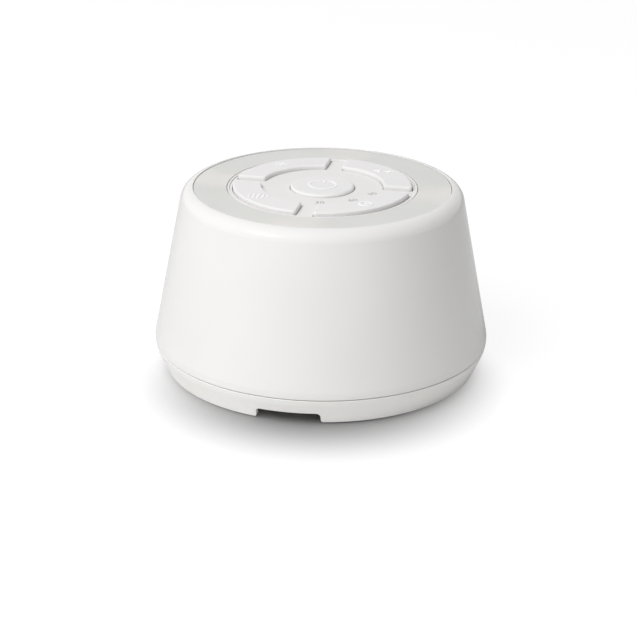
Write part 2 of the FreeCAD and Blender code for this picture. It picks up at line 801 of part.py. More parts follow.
def add_base_cover():
    """Skirt that slants in below the seam, with a grille floor and the sound notches."""
    body = new_body("base_cover")
    blank_top = size.knee_height + size.knee_round
    tongue_outer = wall_inside(tongue_top) - size.running_gap
    tongue_inner = tongue_outer - size.tongue_wall
    revolve(body, [
        (skirt_bottom_radius, size.foot_height),
        (size.knee_radius, size.knee_height),
        (wall_outside(blank_top), blank_top),
        (tongue_inner, blank_top),
        (tongue_inner, floor_top),
        (0, floor_top),
        (0, size.floor_bottom),
        (skirt_inside(size.floor_bottom), size.floor_bottom),
        (skirt_inside(size.foot_height), size.foot_height)])
    fillet(body, size.knee_round, lambda r, z, p: near(r, size.knee_radius) and near(z, size.knee_height))
    groove(body, [
        (tongue_outer, size.seam_height),
        (size.knee_radius + BEYOND, size.seam_height),
        (size.knee_radius + BEYOND, blank_top + BEYOND),
        (tongue_inner - BEYOND, blank_top + BEYOND),
        (tongue_inner - BEYOND, tongue_top),
        (tongue_outer, tongue_top)])
    outer_edge = max(math.hypot(v.X, v.Y) for v in body.Tip.Shape.Vertexes if near(v.Z, size.seam_height))
    fillet(body, size.seam_edge_round, lambda r, z, p: near(r, outer_edge) and near(z, size.seam_height))

    half = size.notch_width / 2
    top = size.foot_height + size.notch_height
    mouth = new_sketch(body, "XZ_Plane", foot_circle_radius, [
        (-half, size.foot_height / 2), (half, size.foot_height / 2), (half, top), (-half, top)])
    pocket(body, mouth, size.knee_radius - foot_circle_radius, along_normal=True)
    rear = new_sketch(body, "XZ_Plane", -foot_circle_radius, [
        (-half, size.foot_height / 2), (half, size.foot_height / 2), (half, top), (-half, top)])
    pocket(body, rear, size.knee_radius - foot_circle_radius)
    fillet(body, size.notch_top_round, lambda r, z, p: near(abs(p.x), half) and near(z, top), BACKWARDS)
    fillet(body, size.notch_foot_round,
           lambda r, z, p: near(abs(p.x), half) and near(z, size.foot_height), BACKWARDS)

    x, y = turned_to(foot_circle_radius, 45)
    foot_top = size.foot_height + size.foot_depth
    seat = pad(body, new_sketch(body, "XY_Plane", size.foot_height, circles=[
        (x, y, size.foot_radius + size.foot_wall)]), size.floor_bottom - size.foot_height + ROOT)
    boss = pad(body, new_sketch(body, "XY_Plane", size.floor_bottom, circles=[
        (x, y, size.base_boss_radius)]), size.seam_height - size.floor_bottom)
    socket = pocket(body, new_sketch(body, "XY_Plane", size.foot_height, circles=[
        (x, y, size.foot_radius + size.running_gap / 2)]), size.foot_depth, along_normal=True)
    sink = pocket(body, new_sketch(body, "XY_Plane", size.foot_height, circles=[
        (x, y, size.large_screw_head_radius + size.running_gap)]),
        size.foot_depth + size.large_screw_head_height + size.running_gap, along_normal=True)
    bore = pocket(body, new_sketch(body, "XY_Plane", size.foot_height, circles=[
        (x, y, size.large_screw_radius + size.running_gap)]), size.seam_height, along_normal=True)
    around(body, [seat, boss, socket, sink, bore], 4)

    pad(body, new_sketch(body, "XY_Plane", floor_top, circles=[
        (0, 0, speaker_flange_radius + size.running_gap),
        (0, 0, speaker_opening_radius + size.running_gap)]), size.speaker_seat_height)
    x, y = turned_to(speaker_lug_circle_radius, 45)
    lug_seat = speaker_face - floor_top
    lug = pad(body, new_sketch(body, "XY_Plane", floor_top, circles=[
        (x, y, size.speaker_lug_radius - size.speaker_lug_margin)]), lug_seat)
    pilot = pocket(body, new_sketch(body, "XY_Plane", speaker_face, circles=[(x, y, small_bore_radius)]),
                   lug_seat + size.floor_thickness / 2)
    around(body, [lug, pilot], 4)

    pad(body, new_sketch(body, "XY_Plane", floor_top, circles=[
        (x, y, size.main_boss_radius) for x, y in main_boss_places]), size.main_board_bottom - floor_top)
    pocket(body, new_sketch(body, "XY_Plane", size.main_board_bottom, circles=[
        (x, y, small_bore_radius) for x, y in main_boss_places]), size.main_board_bottom - floor_top)

    inner = battery_offset - size.battery_pad_thickness
    half = size.battery_rib_length / 2
    pad(body, new_sketch(body, "XY_Plane", floor_top, [
        (-inner, -half), (-inner + size.battery_rib_thickness, -half),
        (-inner + size.battery_rib_thickness, half), (-inner, half)]), size.battery_rib_height)
    outer = battery_offset + size.battery_thickness + size.seat_gap
    pad(body, new_sketch(body, "XY_Plane", floor_top, [
        (-outer - size.battery_rib_thickness, -half), (-outer, -half),
        (-outer, half), (-outer - size.battery_rib_thickness, half)]), size.battery_stop_height)

    holes = [(0, 0, size.grille_hole_radius)]
    for ring in range(1, int(size.grille_ring_count.number) + 1):
        for step in range(6 * ring):
            hole_x, hole_y = turned_to(grille_ring_step * ring, 60 * step / ring)
            holes.append((hole_x, hole_y, size.grille_hole_radius))
    pocket(body, new_sketch(body, "XY_Plane", floor_top, circles=holes), size.floor_thickness + BEYOND)


def add_feet_and_base_screws():
    feet = []
    screws = []
    head_seat = size.foot_height + size.foot_depth + size.large_screw_head_height + size.running_gap
    for number, angle in enumerate(QUARTERS, start=1):
        x, y = turned_to(foot_circle_radius, angle)
        disc = cylinder("foot_%d_disc" % number, size.foot_radius, size.foot_height + size.foot_depth,
                        x, y, 0)
        feet.append(rounded("foot_%d" % number, disc, size.foot_edge_round,
                            lambda r, z, p: near(z, 0)))
        screws.append(screw("base_screw_%d" % number, x, y, head_seat, size.large_screw_radius,
                            size.large_screw_length, size.large_screw_head_radius,
                            size.large_screw_head_height))
    group("rubber_feet", feet)
    group("base_screws", screws)


def add_light_diffuser():
    """Flat milky ring that closes the top between rim and key panel."""
    body = new_body("light_diffuser")
    revolve(body, [
        (diffuser_bore_radius, shelf_top), (diffuser_radius, shelf_top),
        (diffuser_radius, diffuser_top), (diffuser_bore_radius, diffuser_top)])
    fillet(body, size.diffuser_edge_round, lambda r, z, p: near(z, diffuser_top))


def add_light_tray():
    """White trough under the light ring; the key board hangs from it."""
    body = new_body("light_tray")
    floor = tray_floor_bottom + size.tray_floor_thickness
    revolve(body, [
        (tray_inner_radius, tray_floor_bottom),
        (tray_outer_radius, tray_floor_bottom),
        (tray_outer_radius + size.tray_lean, shelf_top),
        (tray_outer_radius + size.tray_lean - size.tray_wall, shelf_top),
        (tray_outer_radius - size.tray_wall, floor),
        (tray_inner_radius + size.tray_wall, floor),
        (tray_inner_radius + size.tray_wall, shelf_top),
        (tray_inner_radius, shelf_top)])
    half = size.tray_window / 2
    middle = led_circle_radius
    angle = 360 / size.led_count.number / 2
    centre_x, centre_y = turned_to(middle, angle)
    along = (math.cos(math.radians(angle)), math.sin(math.radians(angle)))
    radial_half = size.led_width / 2 + size.running_gap / 2
    corners = []
    for radial, across in ((-1, -1), (1, -1), (1, 1), (-1, 1)):
        corners.append((centre_x + radial_half * (radial * along[0]) - half * (across * along[1]),
                        centre_y + radial_half * (radial * along[1]) + half * (across * along[0])))
    window = pocket(body, new_sketch(body, "XY_Plane", floor, corners), size.tray_floor_thickness + BEYOND)
    around(body, [window], int(size.led_count.number))

    post_height = floor - key_board_top + size.tray_post_height
    post_sketch = new_sketch(body, "XY_Plane", key_board_top,
                             circles=[(led_circle_radius, 0, size.tray_post_radius)])
    post = pad(body, post_sketch, post_height)
    pilot_sketch = new_sketch(body, "XY_Plane", key_board_top,
                              circles=[(led_circle_radius, 0, small_bore_radius)])
    pilot = pocket(body, pilot_sketch, post_height - size.tray_post_cap, along_normal=True)
    around(body, [post, pilot], 4)

    half = size.tray_boss_radius
    out_x, out_y = turned_to(tray_screw_circle_radius + size.tray_boss_radius, 45)
    in_x, in_y = turned_to(tray_outer_radius - size.tray_wall / 2, 45)
    side = half * math.sqrt(0.5)
    ear_bottom = tray_boss_bottom - size.tray_floor_thickness
    ear = pad(body, new_sketch(body, "XY_Plane", ear_bottom, [
        (in_x + side, in_y - side), (out_x + side, out_y - side),
        (out_x - side, out_y + side), (in_x - side, in_y + side)]), size.tray_floor_thickness)
    x, y = turned_to(tray_screw_circle_radius, 45)
    hole = pocket(body, new_sketch(body, "XY_Plane", ear_bottom, circles=[(x, y, small_slack_radius)]),
                  size.tray_floor_thickness, along_normal=True)
    around(body, [ear, hole], 4)
    group("tray_screws", [
        small_screw("tray_screw_%d" % number, *turned_to(tray_screw_circle_radius, turn), ear_bottom,
                    size.tray_boss_length + size.tray_floor_thickness - size.screw_slack)
        for number, turn in enumerate(QUARTERS, start=1)])


def add_control_panel():
    """Round panel with a raised outer lip, four key openings and the power key opening."""
    body = new_body("control_panel")
    skirt_inner = panel_radius - size.panel_skirt_wall
    skirt_bottom = panel_underside - size.panel_skirt_depth
    lip_inner = panel_radius - size.panel_lip_width
    revolve(body, [
        (0, panel_underside), (skirt_inner, panel_underside), (skirt_inner, skirt_bottom),
        (panel_radius, skirt_bottom), (panel_radius, panel_top + size.panel_lip_height),
        (lip_inner, panel_top + size.panel_lip_height), (lip_inner, panel_top),
        (0, panel_top)])
    fillet(body, size.panel_lip_round,
           lambda r, z, p: near(z, panel_top + size.panel_lip_height))
    pocket(body, new_sketch(body, "XY_Plane", panel_top, circles=[
        (0, 0, size.power_key_radius + size.key_gap)]), size.panel_thickness + BEYOND)

    outer = key_outer_radius + size.key_gap
    inner = key_inner_radius - size.key_gap
    side = size.key_channel_width / 2 - size.key_gap
    sketch = new_sketch(body, "XY_Plane", panel_top)
    add_sector_loop(sketch, outer, inner, side)
    opening = pocket(body, sketch, size.panel_thickness + BEYOND)
    around(body, [opening], 4)

    boss_radius = size.key_channel_width / 2 - size.key_gap * 2
    post = pad(body, new_sketch(body, "XY_Plane", key_board_top, circles=[
        (switch_circle_radius, 0, boss_radius)]), panel_underside + size.panel_thickness / 2
        - key_board_top)
    pilot = pocket(body, new_sketch(body, "XY_Plane", key_board_top, circles=[
        (switch_circle_radius, 0, small_bore_radius)]), size.pilot_depth, along_normal=True)
    around(body, [post, pilot], 4)


def add_sector_loop(sketch, outer, inner, side):
    """Closed quarter ring in the first quadrant: two arcs about the origin and two straight sides."""
    outer_end = root_of(outer * outer - side * side)
    inner_end = root_of(inner * inner - side * side)
    origin = FreeCAD.Vector(0, 0, 0)
    start = math.atan2(side.number, outer_end.number)
    outer_arc = sketch.addGeometry(Part.ArcOfCircle(
        Part.Circle(origin, UPRIGHT, outer.number), start, math.pi / 2 - start))
    start = math.atan2(side.number, inner_end.number)
    inner_arc = sketch.addGeometry(Part.ArcOfCircle(
        Part.Circle(origin, UPRIGHT, inner.number), start, math.pi / 2 - start))
    low = sketch.addGeometry(Part.LineSegment(
        FreeCAD.Vector(inner_end.number, side.number, 0), FreeCAD.Vector(outer_end.number, side.number, 0)))
    high = sketch.addGeometry(Part.LineSegment(
        FreeCAD.Vector(side.number, inner_end.number, 0), FreeCAD.Vector(side.number, outer_end.number, 0)))
    for arc, radius in ((outer_arc, outer), (inner_arc, inner)):
        sketch.addConstraint(Sketcher.Constraint("Coincident", arc, CENTRE, -1, 1))
        hold(sketch, "Radius", radius, arc)
    for line, end, arc, arc_end in ((low, START, inner_arc, START), (low, END, outer_arc, START),
                                    (high, START, inner_arc, END), (high, END, outer_arc, END)):
        sketch.addConstraint(Sketcher.Constraint("Coincident", line, end, arc, arc_end))
    sketch.addConstraint(Sketcher.Constraint("Horizontal", low))
    sketch.addConstraint(Sketcher.Constraint("Vertical", high))
    hold(sketch, "DistanceY", side, -1, 1, low, START)
    hold(sketch, "DistanceX", side, -1, 1, high, START)


# Raised signs, drawn about the middle of their key

def bar_sign(x, y, half_width, half_height):
    return [(x - half_width, y - half_height), (x + half_width, y - half_height),
            (x + half_width, y + half_height), (x - half_width, y + half_height)]


def spoke_sign(start, end, half_width, degrees):
    """A bar along a ray from the sign's middle."""
    corners = []
    for reach, side in ((start, -1), (end, -1), (end, 1), (start, 1)):
        along_x, along_y = turned_to(reach, degrees)
        side_x, side_y = turned_to(half_width * side, degrees + 90)
        corners.append((along_x + side_x, along_y + side_y))
    return corners


def lamp_sign():
    """Night light: a disc with eight rays."""
    rays = [spoke_sign(size.sign_ray_start, size.sign_reach, size.sign_stroke * 0.4, degrees)
            for degrees in range(0, 360, 45)]
    return rays, [(as_size(0), as_size(0), size.sign_lamp_radius)]


def sound_sign():
    """Choice of sound: five bars of a level display."""
    bars = []
    for number, share in enumerate((0.4, 0.8, 1.0, 0.6, 0.3)):
        bars.append(bar_sign(size.sign_bar_step * (number - 2), as_size(0), size.sign_stroke / 2,
                             size.sign_reach * share))
    return bars, []


def volume_sign():
    """Loudness: a horn beside a plus."""
    half = size.sign_stroke / 2
    left, reach = -size.sign_spacing, size.sign_reach
    horn = [(left - reach / 2, -half * 2), (left, -half * 2), (left + reach / 2, -reach * 0.8),
            (left + reach / 2, reach * 0.8), (left, half * 2), (left - reach / 2, half * 2)]
    middle, arm = size.sign_spacing * 0.75, reach * 0.7
    plus = [(middle - half, -arm), (middle + half, -arm), (middle + half, -half), (middle + arm, -half),
            (middle + arm, half), (middle + half, half), (middle + half, arm), (middle - half, arm),
            (middle - half, half), (middle - arm, half), (middle - arm, -half), (middle - half, -half)]
    return [horn, plus], []


def timer_sign():
    """Timer: a clock face whose hands point up and to the right."""
    half = size.sign_stroke / 2
    long_hand = size.sign_reach - size.sign_stroke * 2
    short_hand = long_hand - size.sign_stroke / 2
    hands = [(-half, -half), (short_hand, -half), (short_hand, half), (half, half), (half, long_hand),
             (-half, long_hand)]
    return [hands], [(as_size(0), as_size(0), size.sign_reach),
                     (as_size(0), as_size(0), size.sign_reach - size.sign_stroke)]


def add_open_ring(sketch, radius, stroke, gap):
    """Closed band along a circle about the origin, open at the top between two upright sides."""
    outer, inner = radius + stroke / 2, radius - stroke / 2
    origin = FreeCAD.Vector(0, 0, 0)
    arcs = []
    for reach in (outer, inner):
        start = math.pi / 2 + math.asin(gap.number / reach.number)
        end = math.pi * 5 / 2 - math.asin(gap.number / reach.number)
        arc = sketch.addGeometry(Part.ArcOfCircle(Part.Circle(origin, UPRIGHT, reach.number), start, end))
        sketch.addConstraint(Sketcher.Constraint("Coincident", arc, CENTRE, -1, 1))
        hold(sketch, "Radius", reach, arc)
        arcs.append(arc)
    for side, end in ((-gap, START), (gap, END)):
        low, high = root_of(inner * inner - gap * gap).number, root_of(outer * outer - gap * gap).number
        line = sketch.addGeometry(Part.LineSegment(FreeCAD.Vector(side.number, low, 0),
                                                   FreeCAD.Vector(side.number, high, 0)))
        sketch.addConstraint(Sketcher.Constraint("Coincident", line, START, arcs[1], end))
        sketch.addConstraint(Sketcher.Constraint("Coincident", line, END, arcs[0], end))
        sketch.addConstraint(Sketcher.Constraint("Vertical", line))
        hold(sketch, "DistanceX", side, -1, 1, line, START)


def turned_back(x, y, turn):
    """A place in the part's own axes, in the axes of a body that is later turned by quarter turns."""
    for _ in range(turn // 90):
        x, y = y, -x
    return x, y


def add_segment_key(name, turn, sign):
    """Curved key: hollow cap with a retaining flange, a stem on its switch and a raised sign."""
    body = new_body(name)
    side = size.key_channel_width / 2
    cap = new_sketch(body, "XY_Plane", key_foot)
    add_sector_loop(cap, key_outer_radius, key_inner_radius, side)
    pad(body, cap, key_top - key_foot)
    fillet(body, size.key_corner_round, lambda r, z, p: True, UPRIGHT)
    fillet(body, size.key_edge_round, lambda r, z, p: near(z, key_top))
    flange = new_sketch(body, "XY_Plane", key_foot)
    add_sector_loop(flange, key_outer_radius + size.key_flange_width,
                    key_inner_radius - size.key_flange_width, side)
    pad(body, flange, size.key_flange_thickness)
    hollow = new_sketch(body, "XY_Plane", key_foot)
    add_sector_loop(hollow, key_outer_radius - size.key_wall,
                    key_inner_radius + size.key_wall, side + size.key_wall)
    pocket(body, hollow, key_top - size.key_roof - key_foot, along_normal=True)
    x, y = turned_to(switch_circle_radius, 45)
    pad(body, new_sketch(body, "XY_Plane", plunger_top, circles=[(x, y, size.stem_radius)]),
        key_top - size.key_roof / 2 - plunger_top)
    loops, circles = sign()
    loops = [[(x + side_x, y + side_y) for side_x, side_y in (turned_back(*point, turn) for point in loop)]
             for loop in loops]
    circles = [(x + circle_x, y + circle_y, radius) for circle_x, circle_y, radius in circles]
    pad(body, new_sketch(body, "XY_Plane", key_top, loops=loops, circles=circles), size.sign_height)
    body.Placement = FreeCAD.Placement(FreeCAD.Vector(0, 0, 0),
                                       FreeCAD.Rotation(FreeCAD.Vector(0, 0, 1), turn))


def add_power_key():
    body = new_body("power_key")
    foot = key_foot
    flange_radius = size.power_key_radius + size.key_gap + size.key_flange_width
    hollow_radius = size.power_key_radius - size.key_wall
    revolve(body, [
        (0, plunger_top), (size.stem_radius, plunger_top),
        (size.stem_radius, power_key_top - size.key_roof),
        (hollow_radius, power_key_top - size.key_roof), (hollow_radius, foot),
        (flange_radius, foot), (flange_radius, foot + size.key_flange_thickness),
        (size.power_key_radius, foot + size.key_flange_thickness),
        (size.power_key_radius, power_key_top), (0, power_key_top)])
    fillet(body, size.power_key_edge_round,
           lambda r, z, p: near(r, size.power_key_radius) and near(z, power_key_top))
    sign = new_sketch(body, "XY_Plane", power_key_top, [
        (-size.sign_stroke / 2, size.sign_ray_start), (size.sign_stroke / 2, size.sign_ray_start),
        (size.sign_stroke / 2, size.power_sign_radius), (-size.sign_stroke / 2, size.power_sign_radius)])
    add_open_ring(sign, size.power_sign_radius, size.sign_stroke, size.power_sign_gap)
    pad(body, sign, size.sign_height)


SWITCH_PLACES = {"front_left": 225, "front_right": 315, "back_right": 45, "back_left": 135, "power": None}


def switch_place(turn):
    if turn is None:
        return as_size(0), as_size(0)
    return turned_to(switch_circle_radius, turn)


def add_key_board():
    """Round board with five tactile switches on top and light sources round its edge."""
    body = new_body("key_board")
    bottom = key_board_top - size.board_thickness
    holes = [(*turned_to(switch_circle_radius, turn), small_slack_radius) for turn in CROSS]
    holes += [(*turned_to(led_circle_radius, turn), small_slack_radius) for turn in CROSS]
    pad(body, new_sketch(body, "XY_Plane", bottom, circles=[(0, 0, key_board_radius)] + holes),
        size.board_thickness)

    bodies = []
    travel_room = size.key_travel + size.switch_height / 2
    for name, turn in SWITCH_PLACES.items():
        x, y = switch_place(turn)
        case = box("switch_case_" + name, size.switch_width, size.switch_width, size.switch_height,
                   x, y, key_board_top)
        well = cylinder("switch_well_" + name, size.plunger_radius + size.plunger_gap, travel_room + BEYOND,
                        x, y, key_board_top + size.switch_height - travel_room)
        bodies.append(cut("switch_" + name, case, well))
        cylinder("plunger_" + name, size.plunger_radius, size.plunger_head_height + size.switch_height / 2,
                 x, y, key_board_top + size.switch_height / 2)
    group("key_switches", bodies)

    half_step = 360 / size.led_count.number / 2
    leds = []
    for number in range(int(size.led_count.number)):
        turn = half_step + number * 2 * half_step
        case = doc.addObject("Part::Box", "led_case_%d" % number)
        bind(case, "Length", size.led_width)
        bind(case, "Width", size.led_width)
        bind(case, "Height", size.led_height)
        well = cylinder("led_well_%d" % number, size.led_lens_radius, size.led_height,
                        size.led_width / 2, size.led_width / 2, size.led_height - size.led_lens_depth)
        led = cut("led_%d" % number, case, well)
        corner_x = led_circle_radius - size.led_width / 2
        corner_y = size.led_width / 2
        cosine, sine = math.cos(math.radians(turn)), math.sin(math.radians(turn))
        led.Placement.Rotation = FreeCAD.Rotation(FreeCAD.Vector(0, 0, 1), turn)
        place(led, corner_x * cosine + corner_y * sine, corner_x * sine - corner_y * cosine,
              key_board_top)
        leds.append(led)
    group("ring_leds", leds)

    group("key_board_screws", [
        small_screw("key_board_screw_%d" % number, *turned_to(led_circle_radius, turn), bottom,
                    size.board_screw_length)
        for number, turn in enumerate(CROSS, start=1)])
    group("panel_screws", [
        small_screw("panel_screw_%d" % number, *turned_to(switch_circle_radius, turn), bottom,
                    size.panel_screw_length)
        for number, turn in enumerate(CROSS, start=1)])
    chip("led_driver_chip", size.driver_length, size.driver_width, size.driver_height,
         size.driver_x, driver_y, bottom, hangs=True)


def chip(name, length, width, height, x, y, z, hangs=False):
    """Flat package with a bevelled top edge, standing on a board or hanging under it."""
    base = z - height if hangs else z
    block = box(name + "_block", length, width, height, x, y, base)
    doc.recompute()
    outer = base if hangs else base + height
    edge_size = size.chip_edge.number
    thing = doc.addObject("Part::Chamfer", name)
    thing.Base = block
    thing.Edges = [(int(edge[4:]), edge_size, edge_size)
                   for edge in edges_where(block.Shape, lambda r, level, p: near(level, outer))]
    return thing


front_screw_x = main_board_half_width - size.board_screw_inset
main_boss_places = [
    (-front_screw_x, main_board_front + size.board_screw_inset),
    (front_screw_x, main_board_front + size.board_screw_inset),
    (-size.rear_screw_x, main_board_front + size.rear_screw_depth),
    (size.rear_screw_x, main_board_front + size.rear_screw_depth)]
passive_columns = (
    (size.controller_x + size.controller_side / 2, controller_y - size.controller_side / 2, 1, 3),
    (size.memory_x - size.memory_length / 2, memory_y - size.memory_width / 2, -1, 2),
    (size.amplifier_x - size.amplifier_side / 2, amplifier_y - size.amplifier_side / 2, -1, 3))
passive_places = [(x + size.passive_gap * side, y + size.passive_width + size.passive_step * number)
                  for x, y, side, count in passive_columns for number in range(count)]


def add_main_board():
    """Board with a curved back edge that follows the drum, on four posts of the base cover."""
    body = new_body("main_board")
    disc_sketch = new_sketch(body, "XY_Plane", size.main_board_bottom,
                             circles=[(0, 0, main_board_radius)])
    pad(body, disc_sketch, size.board_thickness)
    far = main_board_radius + BEYOND
    front = main_board_front
    half = main_board_half_width
    pocket(body, new_sketch(body, "XY_Plane", board_face, [
        (-far, -far), (far, -far), (far, far), (half, far), (half, front), (-half, front),
        (-half, far), (-far, far)]), size.board_thickness + BEYOND)
    pocket(body, new_sketch(body, "XY_Plane", board_face, circles=[
        (x, y, small_slack_radius) for x, y in main_boss_places]), size.board_thickness + BEYOND)
    group("main_board_screws", [
        small_screw("main_board_screw_%d" % number, x, y, board_face, size.board_screw_length,
                    points_up=False)
        for number, (x, y) in enumerate(main_boss_places, start=1)])
    chip("main_controller_chip", size.controller_side, size.controller_side, size.controller_height,
         size.controller_x, controller_y, board_face)
    chip("sound_memory_chip", size.memory_length, size.memory_width, size.memory_height,
         size.memory_x, memory_y, board_face)
    chip("amplifier_chip", size.amplifier_side, size.amplifier_side, size.amplifier_height,
         size.amplifier_x, amplifier_y, board_face)
    chip("power_inductor", size.inductor_side, size.inductor_side, size.inductor_height,
         size.inductor_x, inductor_y, board_face)
    can = cylinder("buffer_can", size.capacitor_radius, size.capacitor_length,
                   size.capacitor_x, capacitor_y, board_face)
    rounded("buffer_capacitor", can, size.capacitor_edge_round,
            lambda r, z, p: near(z, board_face + size.capacitor_length))
    group("board_passives", [
        box("passive_%d" % number, size.passive_length, size.passive_width, size.passive_width,
            x, y, board_face)
        for number, (x, y) in enumerate(passive_places, start=1)])
    for name, x in (("battery_connector", battery_plug_x), ("speaker_connector", speaker_plug_x)):
        housing = box(name + "_housing", size.plug_width, size.plug_depth, size.plug_height,
                      x, plug_row_y, board_face)
        latch = box(name + "_latch", size.latch_width, size.latch_depth, size.latch_height,
                    x, plug_row_y - (size.plug_depth + size.latch_depth) / 2,
                    board_face + size.latch_foot)
        fuse(name, housing, latch)
    ribbon_plug_width = size.ribbon_width + size.ribbon_plug_margin * 2
    chip("ribbon_connector", ribbon_plug_width, size.ribbon_plug_depth, size.ribbon_plug_height,
         as_size(0), ribbon_plug_y, board_face)
    chip("key_board_connector", ribbon_plug_width, size.ribbon_plug_depth, size.ribbon_head_height,
         as_size(0), ribbon_head_y, key_board_top - size.board_thickness, hangs=True)


def slab_with_round_ends(name, width, height, depth, y, middle_z, radius):
    """Upright slab along Y whose four long edges are rounded."""
    block = corner_box(name + "_block", width, depth, height, -width / 2, y, middle_z - height / 2)
    return rounded(name, block, radius, lambda r, z, p: True, BACKWARDS)


socket_mouth = root_of(wall_inside(socket_middle) * wall_inside(socket_middle)
                       - size.socket_width * size.socket_width / 4) - size.socket_setback


def add_charging_socket():
    """Charging inlet on the back edge of the main board, behind the port in the drum."""
    back = socket_mouth - size.socket_depth
    wall = size.socket_wall
    outer = slab_with_round_ends("socket_outer", size.socket_width, size.socket_height, size.socket_depth,
                                 back, socket_middle, size.socket_height / 2 - size.seat_gap)
    inner = slab_with_round_ends("socket_inner", size.socket_width - wall * 2, size.socket_height - wall * 2,
                                 size.socket_depth, back + wall, socket_middle,
                                 size.socket_height / 2 - wall - size.seat_gap)
    cut("usb_socket_shell", outer, inner)
    corner_box("usb_socket_tongue", size.socket_tongue_width,
               size.socket_depth - size.socket_tongue_setback,
               size.socket_tongue_thickness, -size.socket_tongue_width / 2, back + wall,
               socket_middle - size.socket_tongue_thickness / 2)


# The wires: straight runs joined by tangent arcs

def wire_path(points):
    """Edges along a route, each corner rounded as far as its two runs allow; also the radii."""
    corners = [FreeCAD.Vector(*point) for point in points]
    edges = []
    radii = []
    start = corners[0]
    for before, corner, after in zip(corners, corners[1:], corners[2:]):
        inward, outward = corner - before, after - corner
        reach = 0.45 * min(inward.Length, outward.Length)
        turn = inward.getAngle(outward)
        radii.append(reach / math.tan(turn / 2))
        inward.normalize()
        outward.normalize()
        arc_start = corner - inward * reach
        arc_end = corner + outward * reach
        to_centre = outward - inward
        to_centre.normalize()
        middle = corner + to_centre * (radii[-1] / math.cos(turn / 2) - radii[-1])
        edges.append(Part.LineSegment(start, arc_start).toShape())
        edges.append(Part.Arc(arc_start, middle, arc_end).toShape())
        start = arc_end
    edges.append(Part.LineSegment(start, corners[-1]).toShape())
    return Part.Wire(edges), radii


def wire_tube(name, points):
    path, radii = wire_path(points)
    radius = size.wire_radius.number
    direction = FreeCAD.Vector(*points[1]) - FreeCAD.Vector(*points[0])
    section = Part.Wire(Part.makeCircle(radius, FreeCAD.Vector(*points[0]), direction))
    tube = path.makePipeShell([section], True, False)
    thing = doc.addObject("Part::Feature", name)
    thing.Shape = tube
    ratio = tube.Volume / (math.pi * radius ** 2 * path.Length)
    print("%s length %.1f, volume ratio %.4f, radii %s"
          % (name, path.Length, ratio, ", ".join("%.1f" % r for r in radii)))


def add_wires():
    """Two leads from the cell's board and two from the speaker, each to its plug."""
    plug_top = (board_face + size.plug_height).number
    plug_y = plug_row_y.number
    lying = (size.wire_radius + size.seat_gap).number
    cell_top = (floor_top + size.battery_height + size.cell_board_thickness).number + lying
    cell_x = -(battery_offset + size.battery_thickness / 2).number
    strip_y = (terminal_offset + size.terminal_thickness / 2).number + lying
    strip_top = (speaker_face + size.speaker_flange_thickness + size.terminal_height).number
    for colour, side in (("red", 0.5), ("black", -0.5)):
        shift = side * size.wire_spacing.number
        start_x = cell_x + shift
        end_x = battery_plug_x.number + shift
        wire_tube("battery_lead_" + colour, [
            (start_x, 11.0, cell_top), (start_x, 20.0, cell_top),
            (start_x + 2.5, 28.0, cell_top - 0.6), (start_x + 8.5, 31.5 + side, cell_top - 6.5),
            (end_x, plug_y, plug_top + 8.0), (end_x, plug_y, plug_top)])
        start_x = 2.0 + shift * 2
        end_x = speaker_plug_x.number + shift
        wire_tube("speaker_lead_" + colour, [
            (start_x, strip_y, strip_top - 4.0), (start_x, strip_y, strip_top + 2.5),
            (5.5 + shift, strip_y + 2.0 - shift, strip_top + 8.5),
            (end_x - 3.0, plug_y - 1.0 - shift, strip_top + 9.0),
            (end_x, plug_y, plug_top + 5.0), (end_x, plug_y, plug_top)])


def add_ribbon_cable():
    """Flat cable from the key board down to the main board, in one upright plane."""
    top = (key_board_top - size.board_thickness - size.ribbon_head_height).number
    bottom = (board_face + size.ribbon_plug_height).number
    head_y, plug_y = ribbon_head_y.number, ribbon_plug_y.number
    fall = top - bottom
    path, radii = wire_path([
        (0, head_y, top), (0, head_y, top - fall * 0.26), (0, plug_y + 3.0, top - fall * 0.58),
        (0, plug_y, bottom + fall * 0.23), (0, plug_y, bottom)])
    half_width = size.ribbon_width.number / 2
    half = size.ribbon_thickness.number / 2
    corners = [FreeCAD.Vector(x, head_y + y, top)
               for x, y in ((-half_width, -half), (half_width, -half), (half_width, half),
                            (-half_width, half), (-half_width, -half))]
    strip = path.makePipeShell([Part.makePolygon(corners)], True, False)
    thing = doc.addObject("Part::Feature", "ribbon_cable")
    thing.Shape = strip
    ratio = strip.Volume / (size.ribbon_width.number * size.ribbon_thickness.number * path.Length)
    print("ribbon_cable length %.1f, volume ratio %.4f, radii %s"
          % (path.Length, ratio, ", ".join("%.1f" % r for r in radii)))


def add_battery():
    """Flat pouch cell on edge between two ribs, with its protection board on top."""
    middle = -(battery_offset + size.battery_thickness / 2)
    pouch = box("pouch", size.battery_thickness, battery_width, size.battery_height, middle,
                as_size(0), floor_top)
    rounded("battery_cell", pouch, size.battery_edge_round, lambda r, z, p: True, UPRIGHT)
    box("battery_foam_pad", size.battery_pad_thickness, size.battery_pad_length, size.battery_pad_height,
        -(battery_offset - size.battery_pad_thickness / 2), as_size(0), floor_top)
    box("battery_protection_board", size.cell_board_width, cell_board_length,
        size.cell_board_thickness, middle, as_size(0), floor_top + size.battery_height)


